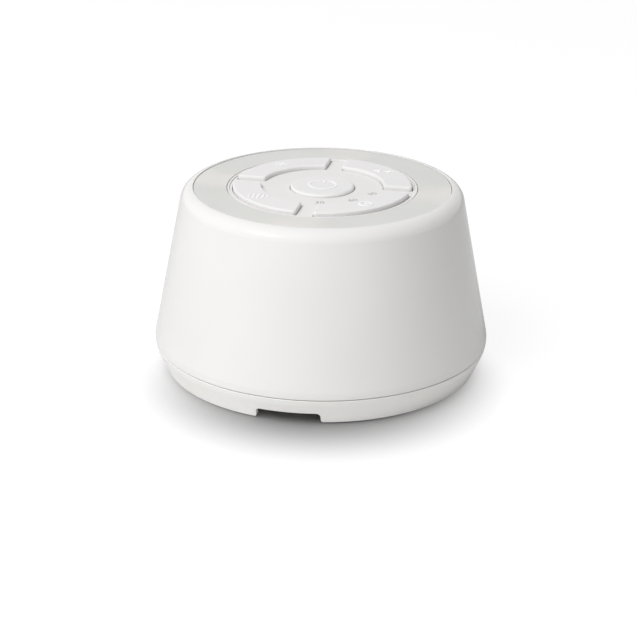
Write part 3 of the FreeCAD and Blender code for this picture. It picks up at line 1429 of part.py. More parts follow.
def add_speaker_frame():
    body = new_body("speaker_basket")
    flange_top = speaker_face + size.speaker_flange_thickness
    wall = size.basket_wall
    revolve(body, [
        (speaker_opening_radius, cone_front), (speaker_lip_radius, cone_front),
        (speaker_lip_radius, speaker_face), (speaker_flange_radius, speaker_face),
        (speaker_flange_radius, flange_top), (speaker_opening_radius + wall, flange_top),
        (basket_step_radius + wall, ledge_z), (basket_step_radius + wall, ledge_z + wall),
        (basket_top_radius, ledge_z + wall), (basket_top_radius, basket_top),
        (size.basket_bore_radius, basket_top), (size.basket_bore_radius, basket_top - wall),
        (basket_ledge_radius, basket_top - wall), (basket_ledge_radius, ledge_z),
        (basket_step_radius, ledge_z), (speaker_opening_radius, flange_top)])
    half = size.basket_window_width / 2
    window_foot = flange_top + size.basket_wall
    sketch = new_sketch(body, "XZ_Plane", basket_ledge_radius, [
        (-half, window_foot), (half, window_foot),
        (half, window_foot + size.basket_window_height), (-half, window_foot + size.basket_window_height)])
    window = pocket(body, sketch, speaker_flange_radius - basket_ledge_radius, along_normal=True)
    pattern = body.newObject("PartDesign::PolarPattern", "speaker_basket_windows")
    pattern.Originals = [window]
    pattern.Axis = (sketch, ["V_Axis"])
    pattern.Angle = 360
    pattern.Occurrences = 4
    body.Tip = pattern
    doc.recompute()

    x, y = turned_to(speaker_lug_circle_radius, 45)
    lug = pad(body, new_sketch(body, "XY_Plane", speaker_face, circles=[(x, y, size.speaker_lug_radius)]),
              size.speaker_flange_thickness)
    hole = pocket(body, new_sketch(body, "XY_Plane", flange_top, circles=[(x, y, small_slack_radius)]),
                  size.speaker_flange_thickness + BEYOND)
    around(body, [lug, hole], 4)
    group("speaker_screws", [
        small_screw("speaker_screw_%d" % number, *turned_to(speaker_lug_circle_radius, turn),
                    flange_top, size.speaker_screw_length, points_up=False)
        for number, turn in enumerate(QUARTERS, start=1)])

    body = new_body("speaker_top_plate")
    revolve(body, [(size.gap_bore_radius, basket_top), (size.top_plate_radius, basket_top),
                   (size.top_plate_radius, plate_top), (size.gap_bore_radius, plate_top)])
    body = new_body("speaker_magnet")
    revolve(body, [(size.magnet_bore_radius, plate_top), (size.magnet_radius, plate_top),
                   (size.magnet_radius, magnet_top), (size.magnet_bore_radius, magnet_top)])
    fillet(body, size.magnet_edge_round, lambda r, z, p: near(r, size.magnet_radius))
    body = new_body("speaker_yoke")
    revolve(body, [(0, basket_top), (size.pole_radius, basket_top), (size.pole_radius, magnet_top),
                   (size.yoke_radius, magnet_top), (size.yoke_radius, magnet_top + size.yoke_thickness),
                   (0, magnet_top + size.yoke_thickness)])
    fillet(body, size.yoke_edge_round, lambda r, z, p: near(r, size.yoke_radius)
           and near(z, magnet_top + size.yoke_thickness))

    body = new_body("speaker_gasket")
    revolve(body, [
        (speaker_lip_radius - size.gasket_width, speaker_face - size.gasket_thickness),
        (speaker_flange_radius - size.running_gap, speaker_face - size.gasket_thickness),
        (speaker_flange_radius - size.running_gap, speaker_face),
        (speaker_lip_radius - size.gasket_width, speaker_face)])
    body = new_body("acoustic_mesh")
    pad(body, new_sketch(body, "XY_Plane", floor_top, circles=[(0, 0, speaker_opening_radius)]),
        size.acoustic_mesh_thickness)
    box("speaker_terminal_strip", size.terminal_width, size.terminal_thickness, size.terminal_height,
        as_size(0), terminal_offset, speaker_face + size.speaker_flange_thickness)


def add_speaker_cone():
    """Paper cone with its dust cap, coil former and winding; surround and spider carry them."""
    cone_neck = cone_front + size.cone_depth
    inner = size.former_radius + size.former_wall + size.seat_gap
    rim_inner = cone_edge_radius - size.cone_rim_width
    body = new_body("speaker_cone")
    revolve(body, [
        (inner, cone_neck - size.cone_thickness), (rim_inner, cone_front),
        (cone_edge_radius, cone_front), (cone_edge_radius, cone_front + size.cone_thickness),
        (rim_inner + size.cone_thickness / 2, cone_front + size.cone_thickness), (inner, cone_neck)])

    former_foot = cone_neck - size.cone_thickness
    coil_foot = basket_top + size.top_plate_thickness / 2 - size.coil_length / 2
    former_outer = size.former_radius + size.former_wall
    coil_top = coil_foot + size.coil_length
    body = new_body("voice_coil_former")
    revolve(body, [(size.former_radius, former_foot), (former_outer, former_foot),
                   (former_outer, coil_top), (size.former_radius, coil_top)])
    body = new_body("voice_coil")
    coil_inner = former_outer + size.seat_gap
    revolve(body, [(coil_inner, coil_foot), (coil_inner + size.coil_wall, coil_foot),
                   (coil_inner + size.coil_wall, coil_top), (coil_inner, coil_top)])

    cone_slope = (former_foot - cone_front) / (rim_inner - inner)
    cap_rim = former_foot - cone_slope * (size.dust_cap_radius - inner) - size.dust_cap_gap
    ball = ((size.dust_cap_radius * size.dust_cap_radius + size.dust_cap_bulge * size.dust_cap_bulge)
            / (size.dust_cap_bulge * 2))
    outer = doc.addObject("Part::Sphere", "cap_outer")
    bind(outer, "Radius", ball)
    place(outer, 0, 0, cap_rim - size.dust_cap_bulge + ball)
    hollow = doc.addObject("Part::Sphere", "cap_hollow")
    bind(hollow, "Radius", ball - size.dust_cap_wall)
    place(hollow, 0, 0, cap_rim - size.dust_cap_bulge + ball)
    slice_of_ball = cylinder("cap_slice", size.dust_cap_radius, size.dust_cap_bulge + BEYOND, 0, 0,
                             cap_rim - size.dust_cap_bulge - BEYOND)
    common("speaker_dust_cap", cut("cap_shell", outer, hollow), slice_of_ball)

    roll = doc.addObject("Part::Torus", "roll_outer")
    bind(roll, "Radius1", surround_middle_radius)
    bind(roll, "Radius2", size.surround_roll_radius)
    place(roll, 0, 0, speaker_face)
    bore = doc.addObject("Part::Torus", "roll_inner")
    bind(bore, "Radius1", surround_middle_radius)
    bind(bore, "Radius2", size.surround_roll_radius - size.surround_thickness)
    place(bore, 0, 0, speaker_face)
    outside = surround_middle_radius + size.surround_roll_radius
    inside = surround_middle_radius - size.surround_roll_radius
    inner_lip = cut("inner_lip", cylinder("inner_lip_disc", inside + size.surround_thickness / 2,
                                          size.surround_thickness, 0, 0, speaker_face),
                    cylinder("inner_lip_bore", surround_inner_radius, size.surround_thickness * 3,
                             0, 0, speaker_face - size.surround_thickness))
    outer_lip = cut("outer_lip", cylinder("outer_lip_disc", surround_outer_radius,
                                          size.surround_thickness, 0, 0, speaker_face),
                    cylinder("outer_lip_bore", outside - size.surround_thickness / 2,
                             size.surround_thickness * 3, 0, 0, speaker_face - size.surround_thickness))
    upper = cylinder("roll_upper_half", outside + BEYOND, size.surround_roll_radius + BEYOND, 0, 0,
                     speaker_face)
    fuse("speaker_surround", common("half_roll", cut("roll", roll, bore), upper), inner_lip, outer_lip)

    body = new_body("speaker_spider")
    inner_edge = former_outer + size.seat_gap
    outer_edge = basket_step_radius - size.running_gap
    flat = basket_ledge_radius
    low = ledge_z - size.spider_thickness
    waves = int(size.spider_wave_count.number) * 2
    step = (flat - inner_edge - size.spider_land) / waves
    lower = [(inner_edge, low), (inner_edge + size.spider_land, low)]
    for k in range(1, waves):
        lift = size.spider_wave if k % 2 else -size.spider_wave
        lower.append((inner_edge + size.spider_land + step * k, low + lift))
    lower += [(flat, low), (outer_edge, low)]
    upper_side = [(radius, z + size.spider_thickness) for radius, z in reversed(lower)]
    revolve(body, lower + upper_side)


add_main_shell()
add_base_cover()
add_feet_and_base_screws()
add_light_diffuser()
add_light_tray()
add_control_panel()
for key_name, key_turn, key_sign in (("key_back_right", 0, volume_sign), ("key_back_left", 90, lamp_sign),
                                     ("key_front_left", 180, sound_sign),
                                     ("key_front_right", 270, timer_sign)):
    add_segment_key(key_name, key_turn, key_sign)
add_power_key()
add_key_board()
add_main_board()
add_charging_socket()
add_battery()
add_speaker_frame()
add_speaker_cone()
add_wires()
add_ribbon_cable()
doc.recompute()

NODES = [
    "main_shell", "base_cover", "rubber_feet", "base_screws",
    "light_diffuser", "light_tray", "tray_screws", "control_panel", "panel_screws",
    "key_front_left", "key_front_right", "key_back_left", "key_back_right", "power_key",
    "key_board", "key_board_screws", "key_switches", "ring_leds", "led_driver_chip",
    "plunger_front_left", "plunger_front_right", "plunger_back_left", "plunger_back_right",
    "plunger_power", "key_board_connector", "ribbon_cable", "ribbon_connector",
    "main_board", "main_board_screws", "main_controller_chip", "sound_memory_chip", "amplifier_chip",
    "power_inductor", "buffer_capacitor", "board_passives", "usb_socket_shell", "usb_socket_tongue",
    "battery_cell", "battery_foam_pad", "battery_protection_board", "battery_connector",
    "battery_lead_red", "battery_lead_black",
    "speaker_basket", "speaker_top_plate", "speaker_magnet", "speaker_yoke", "speaker_gasket",
    "speaker_screws", "speaker_terminal_strip", "speaker_connector", "speaker_lead_red",
    "speaker_lead_black", "speaker_cone", "speaker_dust_cap", "voice_coil_former", "voice_coil",
    "speaker_surround", "speaker_spider", "acoustic_mesh",
]

for thing in doc.Objects:
    if "Invalid" in thing.State or "Error" in thing.State:
        raise RuntimeError("%s is %s" % (thing.Name, thing.State))
for node in NODES:
    shape = doc.getObject(node).Shape
    if shape.isNull() or not shape.isValid() or not shape.Solids:
        raise RuntimeError(node + " has no valid solid")

os.makedirs("parts", exist_ok=True)
for node in NODES:
    doc.getObject(node).Shape.exportStep("parts/%s.step" % node)
print("%d nodes written" % len(NODES))
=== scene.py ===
import bpy
import math
from mathutils import Euler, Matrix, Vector


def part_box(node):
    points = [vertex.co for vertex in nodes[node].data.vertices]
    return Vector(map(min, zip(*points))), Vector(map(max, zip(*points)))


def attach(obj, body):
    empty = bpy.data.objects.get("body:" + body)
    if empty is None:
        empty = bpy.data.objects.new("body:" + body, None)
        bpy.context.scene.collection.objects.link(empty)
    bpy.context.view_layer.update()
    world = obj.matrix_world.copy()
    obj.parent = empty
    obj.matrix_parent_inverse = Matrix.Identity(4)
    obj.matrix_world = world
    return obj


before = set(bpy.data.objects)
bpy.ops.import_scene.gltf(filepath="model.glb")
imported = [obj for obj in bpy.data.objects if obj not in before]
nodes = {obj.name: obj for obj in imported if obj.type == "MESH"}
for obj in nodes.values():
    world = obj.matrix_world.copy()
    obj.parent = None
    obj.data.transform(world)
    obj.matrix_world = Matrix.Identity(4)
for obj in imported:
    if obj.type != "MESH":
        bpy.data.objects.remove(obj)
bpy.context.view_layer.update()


# Base cover. One injection moulding in white ABS with a satin, faintly spark-eroded skin;
# it carries the floor with the sound grille and every boss that the inner pieces screw to.

def new_group(name, inputs, outputs):
    """Empty shader group with named sockets; gives its tree, its inputs and its outputs."""
    tree = bpy.data.node_groups.new(name, "ShaderNodeTree")
    for label, kind, value in inputs:
        socket = tree.interface.new_socket(name=label, in_out="INPUT", socket_type="NodeSocket" + kind)
        socket.default_value = value
    for label, kind in outputs:
        tree.interface.new_socket(name=label, in_out="OUTPUT", socket_type="NodeSocket" + kind)
    return tree, tree.nodes.new("NodeGroupInput").outputs, tree.nodes.new("NodeGroupOutput").inputs


def wire(tree, kind, inputs, **settings):
    """Adds a node; each input is a plain value or the output that feeds it."""
    node = tree.nodes.new("ShaderNode" + kind)
    for name, value in settings.items():
        setattr(node, name, value)
    for name, value in inputs.items():
        if isinstance(value, bpy.types.NodeSocket):
            tree.links.new(value, node.inputs[name])
        else:
            node.inputs[name].default_value = value
    return node.outputs


def place_of(tree):
    """Where a point lies in the piece's own frame, in metres."""
    return wire(tree, "TexCoord", {})["Object"]


def speckle(tree, place, scale, detail=2.0):
    """Soft noise from 0 to 1 with this many features to the metre."""
    noise = wire(tree, "TexNoise", {"Vector": place, "Scale": scale, "Detail": detail})["Fac"]
    return wire(tree, "MapRange", {"Value": noise, "From Min": 0.3, "From Max": 0.7})["Result"]


def maths(tree, operation, first, second=0.0):
    """One step of arithmetic on plain values or outputs."""
    return wire(tree, "Math", {0: first, 1: second}, operation=operation)["Value"]


def mixed(tree, factor, first, second):
    """Goes from the first colour to the second as the factor goes from 0 to 1."""
    return wire(tree, "Mix", {0: factor, 6: first, 7: second}, data_type="RGBA")[2]


skin, given, gives = new_group(
    "moulded_skin",
    [("Colour", "Color", (0.8, 0.8, 0.8, 1)), ("Cloud", "Color", (0.78, 0.78, 0.77, 1)),
     ("Roughness", "Float", 0.4), ("Roughness Spread", "Float", 0.06),
     ("Cloud Scale", "Float", 40.0), ("Grain Scale", "Float", 5000.0)],
    [("Colour", "Color"), ("Roughness", "Float"), ("Height", "Float")])
place = place_of(skin)
cloud = speckle(skin, place, given["Cloud Scale"])
handled = speckle(skin, place, maths(skin, "MULTIPLY", given["Cloud Scale"], 9.0), 4.0)
skin.links.new(mixed(skin, cloud, given["Colour"], given["Cloud"]), gives["Colour"])
spread = maths(skin, "MULTIPLY", maths(skin, "SUBTRACT", handled, 0.5), given["Roughness Spread"])
skin.links.new(maths(skin, "ADD", given["Roughness"], spread), gives["Roughness"])
skin.links.new(speckle(skin, place, given["Grain Scale"], 3.0), gives["Height"])


def colour_of(red, green, blue):
    """Linear colour of a screen colour given from 0 to 255."""
    def linear(level):
        share = level / 255
        return share / 12.92 if share <= 0.04045 else ((share + 0.055) / 1.055) ** 2.4
    return (linear(red), linear(green), linear(blue), 1)


def shader_of(name):
    """A new material, its tree and its main shader."""
    material = bpy.data.materials.new(name)
    material.use_nodes = True
    return material, material.node_tree, material.node_tree.nodes["Principled BSDF"]


def use_group(tree, group, values):
    """Places a shader group in a material with the material's own values."""
    node = tree.nodes.new("ShaderNodeGroup")
    node.node_tree = group
    for name, value in values.items():
        node.inputs[name].default_value = value
    return node.outputs


def emboss(tree, shader, height, depth):
    """Relief in the surface; a height of 1 stands this many metres proud."""
    relief = wire(tree, "Bump", {"Height": height, "Distance": depth, "Strength": 1.0})
    tree.links.new(relief["Normal"], shader.inputs["Normal"])


def join_surface(tree, shader, outputs, depth):
    """Feeds the shader from a finish group; depth is the relief in metres."""
    tree.links.new(outputs["Colour"], shader.inputs["Base Color"])
    tree.links.new(outputs["Roughness"], shader.inputs["Roughness"])
    emboss(tree, shader, outputs["Height"], depth)


def plastic(name, colour, cloud, roughness, depth, grain=5000.0, spread=0.06):
    """Moulded plastic or rubber, clouded a little, with this many grains to the metre."""
    material, tree, shader = shader_of(name)
    join_surface(tree, shader, use_group(tree, skin, {
        "Colour": colour, "Cloud": cloud, "Roughness": roughness, "Roughness Spread": spread,
        "Grain Scale": grain}), depth)
    return material


def dress(material, *names):
    """Gives the pieces of these names this material."""
    for name in names:
        for slot in nodes[name].material_slots:
            slot.material = material


dress(plastic("satin_white_abs", colour_of(237, 236, 234), colour_of(235, 234, 231), 0.42, 0.000003),
      "base_cover")


# Rubber feet. Four pressed discs of grey-white silicone with a dry, finely pitted face,
# glued into the sockets that also hide the base screws.

dress(plastic("foot_silicone", colour_of(196, 195, 191), colour_of(186, 185, 181), 0.72, 0.00002,
              grain=3500.0), "rubber_feet")


# Screws. Zinc-plated steel with the slight yellow-blue bloom of the plating
# and turned, faintly streaked heads.

plating, given, gives = new_group(
    "plated_metal",
    [("Colour", "Color", (0.6, 0.6, 0.6, 1)), ("Bloom", "Color", (0.55, 0.55, 0.6, 1)),
     ("Roughness", "Float", 0.3), ("Streak Scale", "Float", 900.0)],
    [("Colour", "Color"), ("Roughness", "Float"), ("Height", "Float")])
place = place_of(plating)
long_place = wire(plating, "Mapping", {"Vector": place, "Scale": (1.0, 1.0, 0.12)})["Vector"]
streak = speckle(plating, long_place, given["Streak Scale"], 4.0)
bloom = speckle(plating, place, 260.0)
plating.links.new(mixed(plating, bloom, given["Colour"], given["Bloom"]), gives["Colour"])
plating.links.new(maths(plating, "ADD", given["Roughness"], maths(plating, "MULTIPLY", streak, 0.12)),
                  gives["Roughness"])
plating.links.new(streak, gives["Height"])


def metal(name, colour, bloom, roughness, streaks=900.0):
    """Bare or plated metal with this many fine streaks to the metre."""
    material, tree, shader = shader_of(name)
    shader.inputs["Metallic"].default_value = 1.0
    join_surface(tree, shader, use_group(tree, plating, {
        "Colour": colour, "Bloom": bloom, "Roughness": roughness, "Streak Scale": streaks}), 0.000002)
    return material


dress(metal("zinc_plated_steel", colour_of(205, 207, 210), colour_of(196, 199, 196), 0.28),
      "base_screws", "tray_screws", "panel_screws", "key_board_screws", "speaker_screws",
      "main_board_screws")


# Sound grille cloth. A black disc of plain-woven cloth, glued over the holes of the floor under the
# speaker, so that dust stays out and the cone stays hidden.

def ridges(tree, along, count):
    """Round ridges side by side, this many to the metre along one coordinate."""
    return maths(tree, "ABSOLUTE", maths(tree, "SINE", maths(tree, "MULTIPLY", along, count * math.pi)))


def cloth(name, colour, gap_shade, threads, depth):
    """Plain weave of threads to the metre in two directions, with painted shade in the gaps between
    threads.
    """
    material, tree, shader = shader_of(name)
    axes = wire(tree, "SeparateXYZ", {"Vector": place_of(tree)})
    height = maths(tree, "MULTIPLY", ridges(tree, axes["X"], threads), ridges(tree, axes["Y"], threads))
    # painted shade: the colour darkens down into the gaps between the threads
    tree.links.new(mixed(tree, height, gap_shade, colour), shader.inputs["Base Color"])
    emboss(tree, shader, height, depth)
    shader.inputs["Roughness"].default_value = 0.9
    return material


dress(cloth("grille_cloth", colour_of(58, 58, 60), colour_of(18, 18, 19), 2400.0, 0.00008),
      "acoustic_mesh")


# Speaker frame and magnet. Pressed zinc-coated steel basket, top plate and yoke, with a grey
# ferrite ring between them and a foam gasket under the flange.

dress(metal("basket_steel", colour_of(168, 170, 172), colour_of(158, 158, 154), 0.38, streaks=500.0),
      "speaker_basket", "speaker_top_plate", "speaker_yoke")
ferrite = plastic("ferrite_ring", colour_of(52, 52, 55), colour_of(40, 40, 42), 0.62, 0.00003,
                  grain=2200.0, spread=0.12)
dress(ferrite, "speaker_magnet")
dress(plastic("grey_foam", colour_of(74, 74, 76), colour_of(60, 60, 62), 0.95, 0.00012, grain=1800.0),
      "speaker_gasket", "battery_foam_pad")
dress(plastic("terminal_phenolic", colour_of(120, 78, 44), colour_of(98, 62, 36), 0.6, 0.00001,
              grain=1500.0), "speaker_terminal_strip")


# Speaker cone. Grey paper cone and cap, pressed from pulp with short fibres, on a foil former with
# a lacquered copper coil; a rubber surround and a yellow treated-cloth spider carry it.

def pulp(name, colour, fibre, depth):
    """Pressed paper: long thin fibres over a mottled ground."""
    material, tree, shader = shader_of(name)
    place = place_of(tree)
    stretched = wire(tree, "Mapping", {"Vector": place, "Scale": (1.0, 0.18, 1.0),
                                       "Rotation": (0.0, 0.0, math.radians(35))})["Vector"]
    fibres = speckle(tree, stretched, 2600.0, 4.0)
    mottle = speckle(tree, place, 500.0)
    both = maths(tree, "MULTIPLY", fibres, mottle)
    tree.links.new(mixed(tree, both, colour, fibre), shader.inputs["Base Color"])
    emboss(tree, shader, fibres, depth)
    shader.inputs["Roughness"].default_value = 0.88
    return material


dress(pulp("cone_paper", colour_of(54, 54, 56), colour_of(92, 90, 88), 0.00005),
      "speaker_cone", "speaker_dust_cap")
dress(metal("former_foil", colour_of(196, 198, 200), colour_of(180, 182, 186), 0.25),
      "voice_coil_former")
dress(plastic("surround_rubber", colour_of(38, 38, 40), colour_of(32, 32, 34), 0.55, 0.00001),
      "speaker_surround")
dress(cloth("spider_cloth", colour_of(196, 158, 88), colour_of(140, 104, 52), 1600.0, 0.00012),
      "speaker_spider")


def winding(name, colour, wire_gap_shade, turns, depth):
    """Round wires lying one above the other, this many to the metre of height, with painted shade
    between them.
    """
    material, tree, shader = shader_of(name)
    wires = ridges(tree, wire(tree, "SeparateXYZ", {"Vector": place_of(tree)})["Z"], turns)
    # painted shade: the colour darkens down between the wires
    tree.links.new(mixed(tree, wires, wire_gap_shade, colour), shader.inputs["Base Color"])
    emboss(tree, shader, wires, depth)
    shader.inputs["Metallic"].default_value = 1.0
    shader.inputs["Roughness"].default_value = 0.3
    return material


dress(winding("coil_copper", colour_of(214, 126, 74), colour_of(96, 46, 24), 5500.0, 0.00008),
      "voice_coil")


# Battery, boards and leads. Flat pouch cell in crinkled aluminium foil with a small green protection
# board on its top edge, the green main board, the white board under the keys, and silicone leads.

def crinkled_foil(name):
    """Foil drawn tight over a soft cell, with shallow creases some 6 mm apart."""
    material, tree, shader = shader_of(name)
    place = place_of(tree)
    folds = wire(tree, "TexVoronoi", {"Vector": place, "Scale": 160.0},
                 feature="DISTANCE_TO_EDGE")["Distance"]
    soft = speckle(tree, place, 220.0, 4.0)
    height = maths(tree, "ADD", maths(tree, "MULTIPLY", folds, 0.6), soft)
    tree.links.new(mixed(tree, soft, colour_of(198, 199, 202), colour_of(176, 178, 182)),
                   shader.inputs["Base Color"])
    tree.links.new(wire(tree, "MapRange", {"Value": soft, "To Min": 0.26, "To Max": 0.42})["Result"],
                   shader.inputs["Roughness"])
    emboss(tree, shader, height, 0.00015)
    shader.inputs["Metallic"].default_value = 0.9
    return material


dress(crinkled_foil("cell_foil"), "battery_cell")


def circuit_board(name, mask, copper, pitch):
    """Solder mask over copper: thin tracks in two directions and round plated holes."""
    material, tree, shader = shader_of(name)
    place = place_of(tree)
    axes = wire(tree, "SeparateXYZ", {"Vector": place})
    bends = speckle(tree, place, 90.0, 0.0)
    lanes = []
    for axis in ("X", "Y"):
        wave = maths(tree, "SINE", maths(tree, "MULTIPLY", axes[axis], 2 * math.pi / pitch))
        lanes.append(maths(tree, "GREATER_THAN", wave, 0.72))
    chooser = maths(tree, "GREATER_THAN", bends, 0.5)
    across = maths(tree, "MULTIPLY", lanes[0], chooser)
    along = maths(tree, "MULTIPLY", lanes[1], maths(tree, "SUBTRACT", 1.0, chooser))
    tracks = maths(tree, "MAXIMUM", across, along)
    spots = wire(tree, "TexVoronoi", {"Vector": place, "Scale": 160.0})["Distance"]
    holes = maths(tree, "LESS_THAN", spots, 0.11)
    shade = tuple(level * 0.86 for level in mask[:3]) + (1,)
    ground = mixed(tree, speckle(tree, place, 60.0), mask, shade)
    traced = mixed(tree, maths(tree, "MULTIPLY", tracks, 0.5), ground, copper)
    tree.links.new(mixed(tree, holes, traced, colour_of(206, 198, 170)), shader.inputs["Base Color"])
    emboss(tree, shader, tracks, 0.00003)
    shader.inputs["Roughness"].default_value = 0.32
    return material


dress(circuit_board("green_board", colour_of(28, 94, 58), colour_of(64, 140, 84), 0.0014),
      "battery_protection_board", "main_board")
dress(circuit_board("white_board", colour_of(222, 222, 216), colour_of(200, 202, 192), 0.0018),
      "key_board")
dress(plastic("lead_red", colour_of(176, 34, 30), colour_of(150, 26, 24), 0.5, 0.000006, grain=2500.0),
      "battery_lead_red", "speaker_lead_red")
dress(plastic("lead_black", colour_of(30, 30, 32), colour_of(22, 22, 24), 0.5, 0.000006, grain=2500.0),
      "battery_lead_black", "speaker_lead_black")


# Main board parts. Epoxy chip packages with a satin top, a sleeved capacitor can, tan ceramic
# chips, a ferrite choke and white nylon plugs.

dress(plastic("chip_epoxy", colour_of(34, 34, 36), colour_of(28, 28, 30), 0.5, 0.00001, grain=3000.0),
      "main_controller_chip", "sound_memory_chip", "amplifier_chip", "led_driver_chip", "key_switches")
dress(ferrite, "power_inductor")
dress(metal("capacitor_can", colour_of(188, 190, 194), colour_of(172, 174, 180), 0.24),
      "buffer_capacitor")
dress(plastic("ceramic_tan", colour_of(168, 138, 98), colour_of(140, 112, 78), 0.45, 0.00001,
              grain=2500.0), "board_passives")
dress(plastic("plug_nylon", colour_of(226, 222, 208), colour_of(216, 211, 196), 0.45, 0.000005),
      "battery_connector", "speaker_connector", "ribbon_connector", "key_board_connector")
dress(winding("ribbon_grey", colour_of(170, 172, 176), colour_of(120, 122, 126), 1000.0, 0.00004),
      "ribbon_cable")


# Charging inlet. Drawn stainless shell with a black tongue of moulded contacts, soldered to the main
# board and seen at the bottom of the rear port.

dress(metal("socket_steel", colour_of(200, 201, 203), colour_of(190, 190, 190), 0.22, streaks=1400.0),
      "usb_socket_shell")
dress(plastic("socket_black", colour_of(26, 26, 28), colour_of(22, 22, 24), 0.45, 0.000004),
      "usb_socket_tongue")


# Main shell. The tapered drum, moulded in white ABS in a polished tool, so that the wall is even and
# a lamp draws a short bright line on the shoulder. Four screws from below hold it to the base cover.

dress(plastic("gloss_white_abs", colour_of(230, 229, 228), colour_of(228, 227, 225), 0.14, 0.0000008,
              grain=2600.0, spread=0.04), "main_shell")


# Light tray and its light sources. White reflecting trough under the ring, with yellow phosphor
# lamps that look out of its windows.

dress(plastic("tray_white", colour_of(238, 238, 236), colour_of(232, 232, 230), 0.5, 0.000004),
      "light_tray")
dress(plastic("lamp_phosphor", colour_of(226, 206, 120), colour_of(214, 190, 96), 0.5, 0.000006),
      "ring_leds")
dress(plastic("plunger_white", colour_of(224, 224, 220), colour_of(216, 216, 212), 0.4, 0.000003),
      "plunger_front_left", "plunger_front_right", "plunger_back_left", "plunger_back_right",
      "plunger_power")


# Light ring. Flat milky polycarbonate: grey over the open trough of the tray, warmer and lighter in
# four patches at the front, the back and the sides, which are painted light coming through the milk
# from below.

def milky_ring():
    """The ring's material; the cosine of four times the bearing sets the four patches of painted light.
    """
    material, tree, shader = shader_of("milky_ring")
    place = place_of(tree)
    axes = wire(tree, "SeparateXYZ", {"Vector": place})
    bearing = maths(tree, "ARCTAN2", axes["Y"], axes["X"])
    crosswise = maths(tree, "COSINE", maths(tree, "MULTIPLY", bearing, 4.0))
    drift = maths(tree, "MULTIPLY", maths(tree, "SUBTRACT", speckle(tree, place, 60.0), 0.5), 0.5)
    # painted light: four warmer, lighter patches where light comes through the milk from below
    painted_light_patch = wire(tree, "MapRange", {"Value": maths(tree, "ADD", crosswise, drift), "From Min": 0.35,
                                    "From Max": 1.1}, interpolation_type="SMOOTHSTEP")["Result"]
    milk = mixed(tree, speckle(tree, place, 35.0), colour_of(207, 207, 204), colour_of(213, 213, 210))
    tree.links.new(mixed(tree, painted_light_patch, milk, colour_of(221, 218, 215)), shader.inputs["Base Color"])
    fine = speckle(tree, place, 5000.0, 3.0)
    tree.links.new(wire(tree, "MapRange", {"Value": fine, "To Min": 0.34, "To Max": 0.42})["Result"],
                   shader.inputs["Roughness"])
    emboss(tree, shader, fine, 0.000002)
    return material


dress(milky_ring(), "light_diffuser")


# Key panel and keys. Matt white ABS from a finely textured tool; the keys are a shade cooler, stand
# proud of the panel and carry a raised sign each, its top painted a clearer white as a highlight, and
# the panel is screwed down from below.

dress(plastic("panel_white_abs", colour_of(231, 229, 228), colour_of(229, 227, 225), 0.5, 0.000004,
              grain=4200.0), "control_panel")
sign_relief = 0.00015


def dress_keys(name, *keys):
    """Key plastic; the sign, the highest relief of the key, has a painted highlight: its top is a
    clearer white.
    """
    material = plastic(name, colour_of(232, 230, 230), colour_of(229, 228, 228), 0.48, 0.000004,
                       grain=4200.0)
    tree = material.node_tree
    base = tree.nodes["Principled BSDF"].inputs["Base Color"]
    height = wire(tree, "SeparateXYZ", {"Vector": place_of(tree)})["Z"]
    # painted highlight: the top of the sign, above half its relief, is made a clearer white
    sign_top_highlight = maths(tree, "GREATER_THAN", height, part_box(keys[0])[1].z - sign_relief / 2)
    tree.links.new(mixed(tree, sign_top_highlight, base.links[0].from_socket, colour_of(250, 250, 250)), base)
    dress(material, *keys)


dress_keys("key_white_abs", "key_front_left", "key_front_right", "key_back_left", "key_back_right")
dress_keys("power_key_white_abs", "power_key")


# Timer marks. The minutes 30, 60 and 90 in grey ink, pad-printed on the flat ring of the panel
# between the power key and the curved keys, one small number for each step.

digit_height = 0.0022
digit_share = 0.7
ink_thickness = 0.00002
panel_lip_height = 0.0004
panel_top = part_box("control_panel")[1].z - panel_lip_height
ink_grey = plastic("ink_grey", colour_of(150, 150, 148), colour_of(162, 162, 160), 0.6, 0.000002)


def print_number(digits, radius, bearing, turn):
    """A number in thin ink, its middle at this radius and bearing, its line of text turned as given."""
    bpy.ops.object.select_all(action="DESELECT")
    bpy.ops.object.text_add(location=(0, 0, 0))
    mark = bpy.context.object
    mark.name = "timer_mark_" + digits
    mark.data.body = digits
    mark.data.size = digit_height / digit_share
    mark.data.extrude = ink_thickness
    mark.data.resolution_u = 3
    mark.data.align_x = "CENTER"
    mark.data.align_y = "CENTER"
    bpy.ops.object.convert(target="MESH")
    bpy.ops.object.mode_set(mode="EDIT")
    bpy.ops.mesh.select_all(action="SELECT")
    bpy.ops.mesh.remove_doubles(threshold=0.000001)
    bpy.ops.mesh.normals_make_consistent(inside=False)
    bpy.ops.object.mode_set(mode="OBJECT")
    mark.location = (radius * math.cos(math.radians(bearing)),
                     radius * math.sin(math.radians(bearing)), panel_top)
    mark.rotation_euler = (0, 0, math.radians(turn))
    bpy.ops.object.transform_apply(location=True, rotation=True, scale=True)
    mark.data.materials.append(ink_grey)
    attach(mark, "housing")


print_number("30", 0.0153, 278.0, 12.0)
print_number("60", 0.0159, 319.0, 28.0)
print_number("90", 0.0172, 351.0, 46.0)
